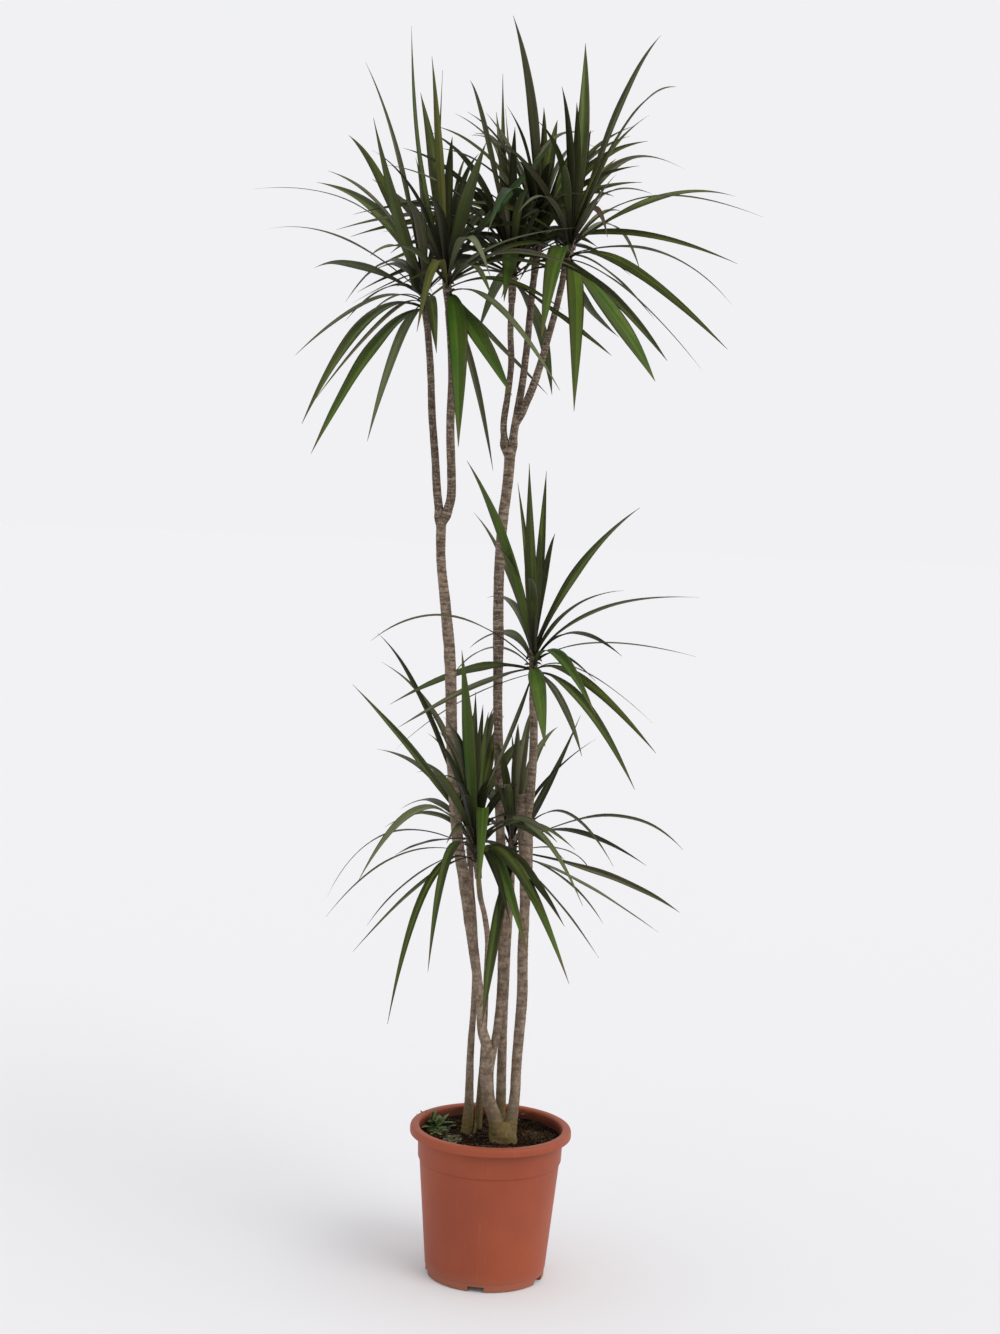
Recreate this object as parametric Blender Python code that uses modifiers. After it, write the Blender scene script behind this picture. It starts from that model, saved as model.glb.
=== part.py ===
"""Potted Madagascar dragon tree: a terracotta-coloured nursery pot, its soil, and ringed canes.

A knobbly stump carries two canes and three more stand beside it. Their forks end in nine rosettes
of long strap leaves. Lengths are in metres, Z is up, the front of the plant faces -Y.
"""
import math
import random

import bmesh
import bpy
from mathutils import Vector
from mathutils.bvhtree import BVHTree

MM = 0.001
CM = 0.01
GAP = 0.3 * MM
COLLECTION = "dragon_tree"
CUTTERS = "cutters"
MERGE_DISTANCE = 0.01 * MM

# Pot: a 24 cm nursery pot with a turned-down rim, a collar and a shallow step below it.
RIM_RADIUS = 120 * MM
RIM_TOP = 224.7 * MM
RIM_BAND = 12 * MM
RIM_SHOULDER = 3 * MM
RIM_EDGE = 1 * MM
RIM_ROUNDING = 0.8 * MM
BAND_ROUNDING = 0.6 * MM
MOUTH_FLARE = 2 * MM
MOUTH_WAIST = 0.4 * MM
WALL = 2.2 * MM
COLLAR_TOP_RADIUS = 108.5 * MM
COLLAR_LOW_RADIUS = 106.6 * MM
STEP_HEIGHT = 175 * MM
STEP_DROP = 1.7 * MM
BODY_TOP_RADIUS = 104.3 * MM
FOOT_RADIUS = 88.6 * MM
FOOT_ROUNDING = 3 * MM
FOOT_CHAMFER = 0.9 * MM
FLOOR_THICKNESS = 3 * MM
PAD_RADIUS = 32 * MM
CHANNEL_HEIGHT = 9 * MM
CHANNEL_OUTER_RADIUS = 71 * MM
CHANNEL_INNER_RADIUS = 36 * MM
CHANNEL_SLOPE = 4 * MM
CHANNEL_SKIN = 1.5 * MM
PAD_LEDGE = 2 * MM
POT_SIDES = 32
NOTCH_COUNT = 5
NOTCH_WIDTH = 24 * MM
NOTCH_HEIGHT = 8.5 * MM
NOTCH_DEPTH = 46 * MM
NOTCH_TURN = math.radians(-98)

# Soil fills the pot to about two centimetres below its rim and is cut flat.
SOIL_TOP = 203 * MM
SOIL_CLEARANCE = 0.35 * MM
CUP_SLOPE = 1 * MM

# Canes and boughs.
LIMB_SIDES_RESOLUTION = 2
STEPS_PER_SPAN = 2
SHOOT_BELOW_HEART = 35 * MM
SHOOT_ABOVE_HEART = 30 * MM
SHOOT_BASE_RADIUS = 6.8 * MM
SHOOT_TOP_RADIUS = 5.0 * MM
SHOOT_NECK_SHARE = 0.85
LIMB_END_SHARE = 0.95

# Leaves.
LEAVES_EACH = 23
LEAF_STATIONS = (0.0, 0.15, 0.34, 0.57, 0.80)
ROOT_SPREAD = 25 * MM
ROOT_OFFSET = 3.0 * MM
ROOT_WIDTH_SHARE = 0.36
WIDEST_AT = 0.4
TIP_SHARPNESS = 1.7
THICKNESS_SHARE = 0.012
LEAF_CLEARANCE = 0.6 * MM
TURN_TO_LIGHT = math.radians(32)
TWIST_LIMIT = math.radians(16)
TWIST_WANDER = 7.0
GOLDEN_ANGLE = math.radians(137.5)
DEPTH_NUDGES = (0.0, 0.07, -0.07, 0.14, -0.14, 0.22, -0.22, 0.32, -0.32, 0.45, -0.45)
TURN_NUDGES = (0, 6, -6, 12, -12, 18, -18)

# Further leaves: they fill each rosette toward the front and the back.
FILL_SPREAD = math.radians(38)
FILL_STEEPEST = math.radians(80)
FILL_LOWEST = math.radians(-6)
FILL_SHORTEST = 17 * CM
FILL_LONGEST = 29 * CM
FILL_ARCH = 8 * CM
FILL_SLOPE_PLAY = 0.1
FILL_BEND = 0.35
FILL_WIDTHS = (14 * MM, 18 * MM)
YOUNGEST_LENGTH = 0.15
YOUNGEST_ARCH = 0.4
SHORTEST_DRAW = 0.85
AGE_STEP = 0.618
AGE_POWER = 0.8
DICE_SEED = 11

# How rough each surface is.
POT_ROUGHNESS = 0.55
SOIL_ROUGHNESS = 0.95
CANE_ROUGHNESS = 0.85
LEAF_ROUGHNESS = 0.45

COLOURS = {
    "pot": (0.32, 0.085, 0.045),
    "soil": (0.030, 0.020, 0.013),
    "cane": (0.17, 0.125, 0.095),
    "leaf": (0.045, 0.105, 0.028),
}

# Each limb runs through these places: x, y, z in centimetres, then its diameter in millimetres.
LIMBS = {
    "stump": [
        (1.9, -1.1, 19.8, 43), (1.9, -1.1, 21.4, 44), (1.8, -1.2, 22.8, 40), (1.8, -1.2, 24.0, 28),
    ],
    "left_trunk": [
        (1.3, -1.3, 22.0, 21), (0.4, -1.5, 24.4, 20), (-0.4, -1.5, 26.6, 19), (-0.8, -1.5, 29.0, 20),
        (-0.9, -1.4, 31.4, 21), (-0.6, -1.2, 34.4, 21),
    ],
    "tall_cane_left": [
        (-0.7, -1.4, 32.6, 15), (-1.3, -1.5, 35.4, 16), (-1.9, -1.5, 37.4, 15), (-2.4, -1.0, 41.6, 14),
        (-3.4, -0.5, 47.4, 14.5), (-4.4, 0.0, 53.3, 18), (-5.5, 0.0, 59.2, 17.5), (-6.7, 0.0, 65.1, 16.5),
        (-7.6, 0.0, 72.5, 16.5), (-8.2, 0.0, 79.9, 16.5), (-8.6, 0.0, 87.0, 16.5), (-9.1, 0.0, 93.1, 16.5),
        (-10.0, -1.0, 100.4, 15), (-10.8, -2.0, 106.3, 13.5), (-11.0, -2.0, 112.2, 14),
    ],
    "tall_cane_middle": [
        (-0.4, -1.0, 33.0, 11), (0.1, -0.2, 35.4, 12), (0.5, 1.0, 38.2, 13.5), (0.8, 1.8, 42.6, 15.5),
        (0.7, 2.0, 49.0, 15.5), (0.5, 2.0, 55.0, 14.5), (-0.1, 2.0, 62.0, 14), (-0.8, 2.0, 70.0, 13.5),
        (-1.2, 2.0, 77.5, 13.5), (-1.7, 2.0, 85.5, 13.5), (-2.0, 2.0, 94.7, 15.5), (-2.3, 1.0, 102.5, 15),
        (-2.2, 0.0, 111.0, 15), (-1.6, 0.0, 118.5, 15.5), (-1.5, 0.0, 123.0, 15.5),
    ],
    "right_cane": [
        (2.5, -1.3, 21.9, 19), (3.1, -1.1, 24.6, 17), (3.4, -0.5, 27.8, 15.5), (3.4, 0.0, 31.0, 15),
        (3.6, 0.0, 36.5, 15.5), (3.8, 0.0, 42.0, 16), (3.6, 0.0, 48.5, 15.5), (3.6, 0.0, 55.1, 15),
        (3.5, 0.0, 60.6, 19), (3.3, 0.0, 65.3, 21.5), (2.9, 0.0, 69.3, 23), (2.6, 0.0, 72.3, 15.5),
    ],
    "slender_cane_left": [
        (-3.6, 2.0, 19.8, 13.5), (-3.4, 2.2, 25.2, 12), (-3.5, 2.7, 32.5, 10.5), (-3.3, 3.4, 40.4, 9),
        (-3.4, 3.5, 46.5, 8.5), (-3.8, 3.5, 52.6, 8), (-4.4, 3.3, 57.6, 7.5),
    ],
    "slender_cane_back": [
        (-1.9, 5.0, 19.8, 9.5), (-1.8, 4.3, 26.1, 9), (-1.6, 2.6, 33.3, 8.5), (-1.6, 1.5, 39.9, 8.5),
        (-1.6, 0.3, 45.2, 8.5), (-1.6, -1.6, 50.3, 8.5), (-2.2, -3.2, 54.4, 8), (-3.0, -4.1, 57.6, 8),
    ],
    "back_cane": [
        (1.5, 7.0, 19.8, 14), (1.3, 6.5, 28.9, 14), (1.2, 6.0, 37.0, 13.5), (1.2, 5.5, 46.3, 13),
        (1.3, 5.5, 52.5, 12.5), (1.4, 5.5, 57.0, 12),
    ],
    "bough_left_outer": [
        (-11.1, -2.0, 111.0, 11), (-11.4, -1.8, 113.6, 12), (-11.8, -1.5, 116.3, 11.8),
        (-12.4, -0.7, 122.0, 11), (-13.0, 0.2, 127.0, 11), (-13.4, 1.2, 132.0, 10.5),
        (-13.8, 2.0, 136.0, 10),
    ],
    "bough_left_inner": [
        (-10.9, -2.1, 111.2, 10), (-10.2, -2.2, 113.2, 12), (-9.7, -2.3, 115.6, 13), (-9.8, -2.6, 119.0, 12.5),
        (-10.2, -3.3, 125.5, 12), (-10.2, -3.5, 132.1, 12), (-10.6, -3.5, 138.0, 12),
    ],
    "bough_middle_front": [
        (-1.9, 0.0, 121.6, 9), (-2.4, 0.1, 123.9, 9.5), (-2.6, 0.4, 126.6, 9.5), (-2.2, 0.9, 130.4, 9),
        (-1.9, 1.3, 135.0, 9), (-2.2, 1.7, 139.6, 9),
    ],
    "bough_middle_back": [
        (-1.2, 0.0, 121.6, 10), (-1.1, 0.0, 124.6, 11.5), (-0.7, 0.3, 128.0, 11), (-0.2, 1.5, 131.8, 10.5),
        (0.2, 3.2, 136.5, 10), (0.5, 5.2, 141.5, 10), (0.7, 6.6, 145.5, 10),
    ],
    "bough_right": [
        (-0.9, 0.1, 126.0, 9), (0.2, -0.4, 128.6, 10.5), (1.4, -0.9, 131.8, 11.5), (2.4, -1.2, 135.3, 10.5),
        (3.2, -1.5, 138.6, 9.5), (4.2, -1.7, 143.0, 9.5),
    ],
    "bough_low_right": [
        (2.9, -0.1, 67.6, 11), (3.6, -0.8, 71.2, 12), (3.7, -1.5, 74.7, 13), (3.8, -2.0, 78.6, 12),
        (3.7, -2.4, 82.4, 12), (3.5, -2.7, 85.6, 12),
    ],
}

# A limb is cut back to clear the limbs that it grows out of.
GROWS_FROM = {
    "left_trunk": ("stump",),
    "right_cane": ("stump",),
    "tall_cane_left": ("left_trunk",),
    "tall_cane_middle": ("left_trunk", "tall_cane_left"),
    "bough_left_outer": ("tall_cane_left",),
    "bough_left_inner": ("tall_cane_left", "bough_left_outer"),
    "bough_middle_front": ("tall_cane_middle",),
    "bough_middle_back": ("tall_cane_middle", "bough_middle_front"),
    "bough_right": ("bough_middle_back",),
    "bough_low_right": ("right_cane",),
}
ROOTED_IN_SOIL = ("stump", "slender_cane_left", "slender_cane_back", "back_cane")

# Each rosette: the limb that bears it, the place of its heart in centimetres, and the leaves that
# stand out in the crown's outline. A leaf has its bearing in degrees, its reach and rise in
# centimetres, how far along the reach it would bend and how high that bend lies, and its width in mm.
ROSETTES = {
    "leaves_left_outer": ("bough_left_outer", (-14.8, 3.0, 143.7), [
        (212, 28, 13, 0.25, 16, 11), (128, 30, 19, 0.25, 14, 18), (144, 31, 11, 0.55, 12, 10),
        (123, 25, 26, 0.65, 20, 14), (258, 31, 21, 0.55, 4, 16), (139, 14, 35, 0.35, 28, 15),
        (125, 33, 6, 0.65, 8, 16), (117, 30, 1, 0.25, 12, 15), (239, 31, -10, 0.35, 4, 14),
        (234, 26, -19, 0.45, 4, 19), (241, 28, -23, 0.35, -2, 20), (256, 25, -21, 0.65, -2, 18),
    ]),
    "leaves_left_inner": ("bough_left_inner", (-11.5, -3.5, 145.4), [
        (139, 9, 37, 0.65, 12, 17), (263, 21, 28, 0.25, 22, 15), (101, 12, 32, 0.65, -6, 13),
        (116, 30, 18, 0.25, 10, 15), (253, 31, 1, 0.65, 6, 17), (277, 27, -23, 0.25, -6, 20),
        (262, 22, -8, 0.35, 12, 14), (290, 29, -16, 0.25, 2, 18), (60, 31, -14, 0.25, -4, 17),
        (70, 22, -26, 0.55, -6, 13), (282, 31, -1, 0.25, 12, 16), (304, 29, -15, 0.35, 6, 15),
        (303, 32, 6, 0.35, 8, 13), (280, 30, 16, 0.25, 10, 18),
    ]),
    "leaves_middle_front": ("bough_middle_front", (-2.2, 2.0, 147.7), [
        (101, 15, 31, 0.65, -4, 16), (258, 31, 21, 0.65, 20, 12), (107, 25, 23, 0.25, 24, 15),
        (65, 23, 24, 0.25, 26, 13), (295, 33, -12, 0.55, -6, 13), (77, 31, -16, 0.55, -4, 18),
    ]),
    "leaves_middle_back": ("bough_middle_back", (1.2, 8.0, 152.0), [
        (255, 19, 31, 0.25, 26, 16), (257, 31, -1, 0.55, 14, 18), (72, 28, 19, 0.25, 18, 13),
        (93, 15, 30, 0.25, 32, 14),
    ]),
    "leaves_right": ("bough_right", (5.7, -2.0, 151.0), [
        (85, 15, 32, 0.25, 30, 18), (265, 30, 18, 0.25, 16, 14), (44, 17, 33, 0.55, 24, 15),
        (294, 30, 19, 0.55, 20, 17), (50, 27, 15, 0.25, 18, 14), (288, 31, 5, 0.25, 10, 14),
        (36, 31, 11, 0.55, 12, 15), (325, 31, 4, 0.25, 12, 12), (68, 32, 0, 0.65, 12, 15),
        (39, 33, -5, 0.55, 6, 15), (315, 30, -14, 0.25, 4, 18), (44, 30, -15, 0.35, 0, 14),
        (64, 33, -7, 0.35, 2, 18), (293, 29, -19, 0.65, -6, 22), (73, 31, -10, 0.25, -6, 17),
        (273, 24, -23, 0.65, 0, 20), (263, 24, -14, 0.25, 14, 18),
    ]),
    "leaves_low_right": ("bough_low_right", (3.2, -3.0, 91.7), [
        (243, 23, 29, 0.45, 18, 17), (110, 29, 21, 0.25, 14, 14), (97, 27, 26, 0.55, 12, 14),
        (265, 24, 29, 0.55, 12, 17), (87, 18, 28, 0.25, 30, 16), (57, 29, 23, 0.25, 14, 15),
        (290, 32, 13, 0.25, 10, 15), (31, 29, 10, 0.25, 10, 14), (316, 30, 4, 0.25, 6, 12),
        (287, 28, -4, 0.25, 8, 17), (47, 28, -10, 0.25, 4, 14), (305, 29, -9, 0.25, 4, 15),
        (300, 28, -14, 0.45, 2, 16), (282, 31, -9, 0.65, 0, 17), (273, 30, -8, 0.25, -6, 19),
        (219, 29, 4, 0.55, 12, 14), (135, 30, -8, 0.35, 2, 18), (233, 30, -7, 0.35, 0, 16),
        (138, 27, -15, 0.55, -4, 14), (116, 30, -6, 0.45, 6, 14), (258, 28, -14, 0.45, -6, 14),
    ]),
    "leaves_low_left_back": ("slender_cane_left", (-4.9, 3.0, 64.7), [
        (136, 22, 29, 0.45, 22, 15), (126, 26, 24, 0.25, 18, 13), (130, 31, 20, 0.45, 10, 15),
        (118, 34, 9, 0.35, 10, 14), (238, 28, 15, 0.35, 6, 16), (151, 25, -12, 0.65, 6, 12),
        (128, 26, -18, 0.65, -6, 11), (91, 21, 20, 0.45, 32, 14), (253, 31, 5, 0.55, 4, 13),
    ]),
    "leaves_low_left_front": ("slender_cane_back", (-3.9, -4.5, 64.3), [
        (256, 31, 17, 0.65, 14, 16), (233, 26, -1, 0.45, 16, 16), (227, 29, -6, 0.55, 6, 11),
        (237, 29, -10, 0.35, 2, 14), (243, 24, -23, 0.65, 8, 16), (255, 22, -13, 0.65, 12, 18),
        (262, 21, 31, 0.45, 20, 17), (272, 20, -3, 0.25, 18, 18), (286, 28, -9, 0.25, 8, 18),
        (303, 25, -14, 0.25, 8, 18), (305, 26, -3, 0.45, 14, 14),
    ]),
    "leaves_low_back": ("back_cane", (1.4, 5.5, 63.3), [
        (71, 32, 17, 0.35, 0, 16), (290, 32, 19, 0.25, 10, 14), (92, 21, 15, 0.25, 30, 14),
        (323, 30, 4, 0.65, 12, 14), (300, 28, 2, 0.45, 14, 14), (64, 30, -8, 0.65, 0, 14),
        (323, 30, -5, 0.65, 0, 16), (32, 28, -15, 0.35, -2, 15), (296, 30, -7, 0.65, 0, 11),
        (55, 26, -21, 0.45, -6, 14), (263, 27, -17, 0.65, -4, 17),
    ]),
}


def clear_scene():
    """Remove whatever objects the start-up file holds."""
    for item in list(bpy.data.objects):
        bpy.data.objects.remove(item, do_unlink=True)


def new_collection(name):
    """A collection of this name, linked to the scene."""
    group = bpy.data.collections.new(name)
    bpy.context.scene.collection.children.link(group)
    return group


def material(name, colour, roughness):
    """A plain material with one base colour."""
    made = bpy.data.materials.new(name)
    made.use_nodes = True
    shader = made.node_tree.nodes["Principled BSDF"]
    shader.inputs["Base Color"].default_value = (*colour, 1.0)
    shader.inputs["Roughness"].default_value = roughness
    return made


def mesh_object(name, mesh, group):
    """An object holding this mesh, in this collection."""
    made = bpy.data.objects.new(name, mesh)
    group.objects.link(made)
    return made


def shade_smooth(thing):
    """Mark every face of a round piece smooth."""
    for face in thing.data.polygons:
        face.use_smooth = True


def apply_modifiers(thing):
    """Replace the object's mesh by the result of its modifiers."""
    graph = bpy.context.evaluated_depsgraph_get()
    result = bpy.data.meshes.new_from_object(thing.evaluated_get(graph))
    thing.modifiers.clear()
    thing.data = result


def keep_largest_part(thing):
    """Drop loose scraps, so that one closed body remains."""
    body = bmesh.new()
    body.from_mesh(thing.data)
    left = set(body.verts)
    parts = []
    while left:
        start = left.pop()
        part = {start}
        queue = [start]
        while queue:
            corner = queue.pop()
            for edge in corner.link_edges:
                other = edge.other_vert(corner)
                if other in left:
                    left.discard(other)
                    part.add(other)
                    queue.append(other)
        parts.append(part)
    parts.sort(key=len, reverse=True)
    for scrap in parts[1:]:
        bmesh.ops.delete(body, geom=list(scrap), context="VERTS")
    body.to_mesh(thing.data)
    body.free()


def cutting_block(name, size, place, turn, group):
    """A box used to cut another piece, drawn as a wire frame."""
    body = bmesh.new()
    bmesh.ops.create_cube(body, size=1.0)
    mesh = bpy.data.meshes.new(name)
    body.to_mesh(mesh)
    body.free()
    block = mesh_object(name, mesh, group)
    block.scale = size
    block.location = place
    block.rotation_euler = (0.0, 0.0, turn)
    block.display_type = "WIRE"


def turned_piece(name, profile, sides, group):
    """A piece turned about Z from a profile of radius and height that runs down its outer side."""
    body = bmesh.new()
    corners = [body.verts.new((radius, 0.0, height)) for radius, height in profile]
    for first, second in zip(corners, corners[1:]):
        body.edges.new((first, second))
    mesh = bpy.data.meshes.new(name)
    body.to_mesh(mesh)
    body.free()
    piece = mesh_object(name, mesh, group)
    turn = piece.modifiers.new("Turn", "SCREW")
    turn.axis = "Z"
    turn.angle = 2 * math.pi
    turn.steps = sides
    turn.render_steps = sides
    turn.use_merge_vertices = True
    turn.merge_threshold = MERGE_DISTANCE
    turn.use_smooth_shade = True
    return piece


def inner_wall_radius(height):
    """The pot's inner radius at a height in its body or collar."""
    if height >= STEP_HEIGHT:
        share = (height - STEP_HEIGHT) / (RIM_TOP - STEP_HEIGHT)
        return COLLAR_LOW_RADIUS - WALL + share * (COLLAR_TOP_RADIUS - COLLAR_LOW_RADIUS)
    share = height / STEP_HEIGHT
    return FOOT_RADIUS - WALL + share * (BODY_TOP_RADIUS - FOOT_RADIUS)


def pot_profile():
    """The pot's section, from the middle of its floor up the inside, over the rim and down."""
    floor = FLOOR_THICKNESS
    channel = CHANNEL_HEIGHT + FLOOR_THICKNESS
    lip = RIM_TOP - RIM_BAND
    under_rim = RIM_TOP - WALL
    rounding = FOOT_ROUNDING
    return [
        (0.0, floor),
        (PAD_RADIUS - PAD_LEDGE, floor),
        (PAD_RADIUS + CHANNEL_SKIN, channel),
        (CHANNEL_OUTER_RADIUS + CHANNEL_SKIN, channel),
        (CHANNEL_OUTER_RADIUS + CHANNEL_SKIN + CHANNEL_SLOPE, floor),
        (inner_wall_radius(floor) - rounding, floor),
        (inner_wall_radius(floor + rounding), floor + rounding),
        (inner_wall_radius(STEP_HEIGHT - STEP_DROP), STEP_HEIGHT - STEP_DROP),
        (inner_wall_radius(STEP_HEIGHT + STEP_DROP), STEP_HEIGHT + STEP_DROP),
        (inner_wall_radius(RIM_TOP) - MOUTH_WAIST, RIM_TOP - RIM_SHOULDER),
        (inner_wall_radius(RIM_TOP) + MOUTH_FLARE, RIM_TOP),
        (RIM_RADIUS - RIM_SHOULDER, RIM_TOP),
        (RIM_RADIUS - RIM_ROUNDING, RIM_TOP - RIM_EDGE),
        (RIM_RADIUS, RIM_TOP - RIM_SHOULDER),
        (RIM_RADIUS, lip + BAND_ROUNDING),
        (RIM_RADIUS - BAND_ROUNDING, lip),
        (RIM_RADIUS - WALL, lip),
        (RIM_RADIUS - WALL, under_rim - RIM_EDGE),
        (RIM_RADIUS - WALL - RIM_EDGE, under_rim),
        (COLLAR_TOP_RADIUS, under_rim),
        (COLLAR_LOW_RADIUS, STEP_HEIGHT + STEP_DROP / 2),
        (BODY_TOP_RADIUS, STEP_HEIGHT - STEP_DROP / 2),
        (FOOT_RADIUS, rounding),
        (FOOT_RADIUS - FOOT_CHAMFER, FOOT_CHAMFER),
        (FOOT_RADIUS - rounding, 0.0),
        (CHANNEL_OUTER_RADIUS + CHANNEL_SLOPE, 0.0),
        (CHANNEL_OUTER_RADIUS, CHANNEL_HEIGHT),
        (CHANNEL_INNER_RADIUS, CHANNEL_HEIGHT),
        (PAD_RADIUS, 0.0),
        (0.0, 0.0),
    ]


def soil_profile():
    """The soil's section, from the middle of its flat top down to the middle of its underside."""
    clear = SOIL_CLEARANCE
    channel = CHANNEL_HEIGHT + FLOOR_THICKNESS + clear
    cup = PAD_RADIUS - PAD_LEDGE - clear
    return [
        (0.0, SOIL_TOP),
        (inner_wall_radius(SOIL_TOP) - clear, SOIL_TOP),
        (inner_wall_radius(STEP_HEIGHT + STEP_DROP) - clear, STEP_HEIGHT + STEP_DROP),
        (inner_wall_radius(STEP_HEIGHT - STEP_DROP) - clear, STEP_HEIGHT - STEP_DROP),
        (inner_wall_radius(channel) - clear, channel),
        (PAD_RADIUS + CUP_SLOPE, channel),
        (cup, FLOOR_THICKNESS + clear),
        (0.0, FLOOR_THICKNESS + clear),
    ]


def build_pot(group, cutters):
    """The pot, with drain notches cut through the foot of its wall."""
    pot = turned_piece("pot", pot_profile(), POT_SIDES, group)
    apply_modifiers(pot)
    for number in range(NOTCH_COUNT):
        turn = NOTCH_TURN + number * 2 * math.pi / NOTCH_COUNT
        size = (NOTCH_DEPTH, NOTCH_WIDTH, 2 * NOTCH_HEIGHT)
        place = (FOOT_RADIUS * math.cos(turn), FOOT_RADIUS * math.sin(turn), 0.0)
        cutting_block("notch", size, place, turn, cutters)
    join_with(pot, cutters, "DIFFERENCE", "EXACT")
    keep_largest_part(pot)
    pot.data.materials.clear()
    pot.data.materials.append(material("pot_plastic", COLOURS["pot"], POT_ROUGHNESS))
    return pot


def build_soil(group):
    """The soil, a flat-topped filling that stands clear of the pot's wall."""
    soil = turned_piece("soil", soil_profile(), POT_SIDES, group)
    apply_modifiers(soil)
    soil.data.materials.append(material("potting_soil", COLOURS["soil"], SOIL_ROUGHNESS))
    return soil


def join_with(thing, tools, operation, solver):
    """Apply one Boolean with a whole collection, then remove the collection's objects."""
    bpy.context.view_layer.update()
    step = thing.modifiers.new("Join", "BOOLEAN")
    step.operand_type = "COLLECTION"
    step.collection = tools
    step.operation = operation
    step.solver = solver
    apply_modifiers(thing)
    for tool in list(tools.objects):
        bpy.data.objects.remove(tool, do_unlink=True)


def smooth_path(places):
    """Places along a smooth line through the given ones, as position and radius in metres."""
    knots = [(Vector(place[:3]) * CM, place[3] * MM / 2) for place in places]
    path = [knots[0]]
    for number in range(len(knots) - 1):
        before = knots[max(number - 1, 0)]
        start = knots[number]
        end = knots[number + 1]
        after = knots[min(number + 2, len(knots) - 1)]
        for step in range(1, STEPS_PER_SPAN + 1):
            t = step / STEPS_PER_SPAN
            weights = (
                (-t + 2 * t * t - t ** 3) / 2,
                (2 - 5 * t * t + 3 * t ** 3) / 2,
                (t + 4 * t * t - 3 * t ** 3) / 2,
                (t ** 3 - t * t) / 2,
            )
            around = (before, start, end, after)
            position = Vector((0.0, 0.0, 0.0))
            for weight, knot in zip(weights, around):
                position += weight * knot[0]
            radius = start[1] * (1 - t) + end[1] * t
            path.append((position, radius))
    return path


def limb_path(name):
    """The whole line of a limb; one that bears a rosette runs on to just below that rosette."""
    path = smooth_path(LIMBS[name])
    for bearer, heart, _ in ROSETTES.values():
        if bearer == name:
            last, radius = path[-1]
            along = (Vector(heart) * CM - last).normalized()
            path.append((Vector(heart) * CM - along * SHOOT_BELOW_HEART, radius * LIMB_END_SHARE))
    return path


def tube(name, path, group, grow=0.0):
    """A round limb along a path, wider by grow all round and longer by grow at its two ends."""
    curve = bpy.data.curves.new(name, "CURVE")
    curve.dimensions = "3D"
    curve.bevel_depth = 1.0
    curve.bevel_resolution = LIMB_SIDES_RESOLUTION
    curve.use_fill_caps = True
    line = curve.splines.new("POLY")
    line.points.add(len(path) - 1)
    places = [position.copy() for position, _ in path]
    places[0] += grow * (path[0][0] - path[1][0]).normalized()
    places[-1] += grow * (path[-1][0] - path[-2][0]).normalized()
    for point, place, (_, radius) in zip(line.points, places, path):
        point.co = (*place, 1.0)
        point.radius = radius + grow
    drawn = bpy.data.objects.new(name, curve)
    group.objects.link(drawn)
    graph = bpy.context.evaluated_depsgraph_get()
    mesh = bpy.data.meshes.new_from_object(drawn.evaluated_get(graph))
    body = bmesh.new()
    body.from_mesh(mesh)
    bmesh.ops.remove_doubles(body, verts=body.verts, dist=MERGE_DISTANCE)
    body.to_mesh(mesh)
    body.free()
    made = mesh_object(name, mesh, group)
    made.matrix_world = drawn.matrix_world.copy()
    bpy.data.objects.remove(drawn, do_unlink=True)
    made.name = name
    shade_smooth(made)
    return made


def build_limbs(group, cutters, bark):
    """Every cane and bough, each cut back from the soil or from the limbs that bear it."""
    limbs = {}
    for name in LIMBS:
        limb = tube(name, limb_path(name), group)
        limb.data.materials.clear()
        limb.data.materials.append(bark)
        for parent in GROWS_FROM.get(name, ()):
            tube("clear_" + parent, limb_path(parent), cutters, GAP)
        if name in ROOTED_IN_SOIL:
            size = (2 * RIM_RADIUS, 2 * RIM_RADIUS, SOIL_TOP)
            cutting_block("ground", size, (0.0, 0.0, SOIL_TOP / 2 + GAP), 0.0, cutters)
        join_with(limb, cutters, "DIFFERENCE", "EXACT")
        keep_largest_part(limb)
        limbs[name] = limb
    return limbs


def shoot_path(bearer, heart):
    """The short shoot that holds a rosette's leaves, on from the end of its limb."""
    path = limb_path(bearer)
    end = path[-1][0]
    along = (end - path[-2][0]).normalized()
    base = end + along * GAP
    top = Vector(heart) * CM + along * SHOOT_ABOVE_HEART
    middle = base.lerp(top, 0.5)
    return [
        (base, SHOOT_BASE_RADIUS * SHOOT_NECK_SHARE),
        (middle, SHOOT_BASE_RADIUS),
        (top, SHOOT_TOP_RADIUS),
    ]


def width_share(t):
    """A leaf's width at a share of its length, as a share of its greatest width."""
    swell = ROOT_WIDTH_SHARE + (1 - ROOT_WIDTH_SHARE) * math.sin(math.pi / 2 * min(1.0, t / WIDEST_AT))
    if t <= WIDEST_AT:
        return swell
    return swell * (1 - ((t - WIDEST_AT) / (1 - WIDEST_AT)) ** TIP_SHARPNESS)


def leaf_line(leaf, heart, along):
    """The three points that shape a leaf's arch: its root, the bend it leans to, and its tip."""
    bearing, reach, rise, bend, lift, _, _ = leaf
    outward = Vector((math.cos(bearing), math.sin(bearing), 0.0))
    steepness = rise / math.hypot(reach, rise)
    root = heart + along * (ROOT_SPREAD * steepness) + outward * ROOT_OFFSET
    tip = heart + outward * reach + Vector((0.0, 0.0, rise))
    bent = root + outward * (reach * bend) + Vector((0.0, 0.0, lift))
    return root, bent, tip


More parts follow.
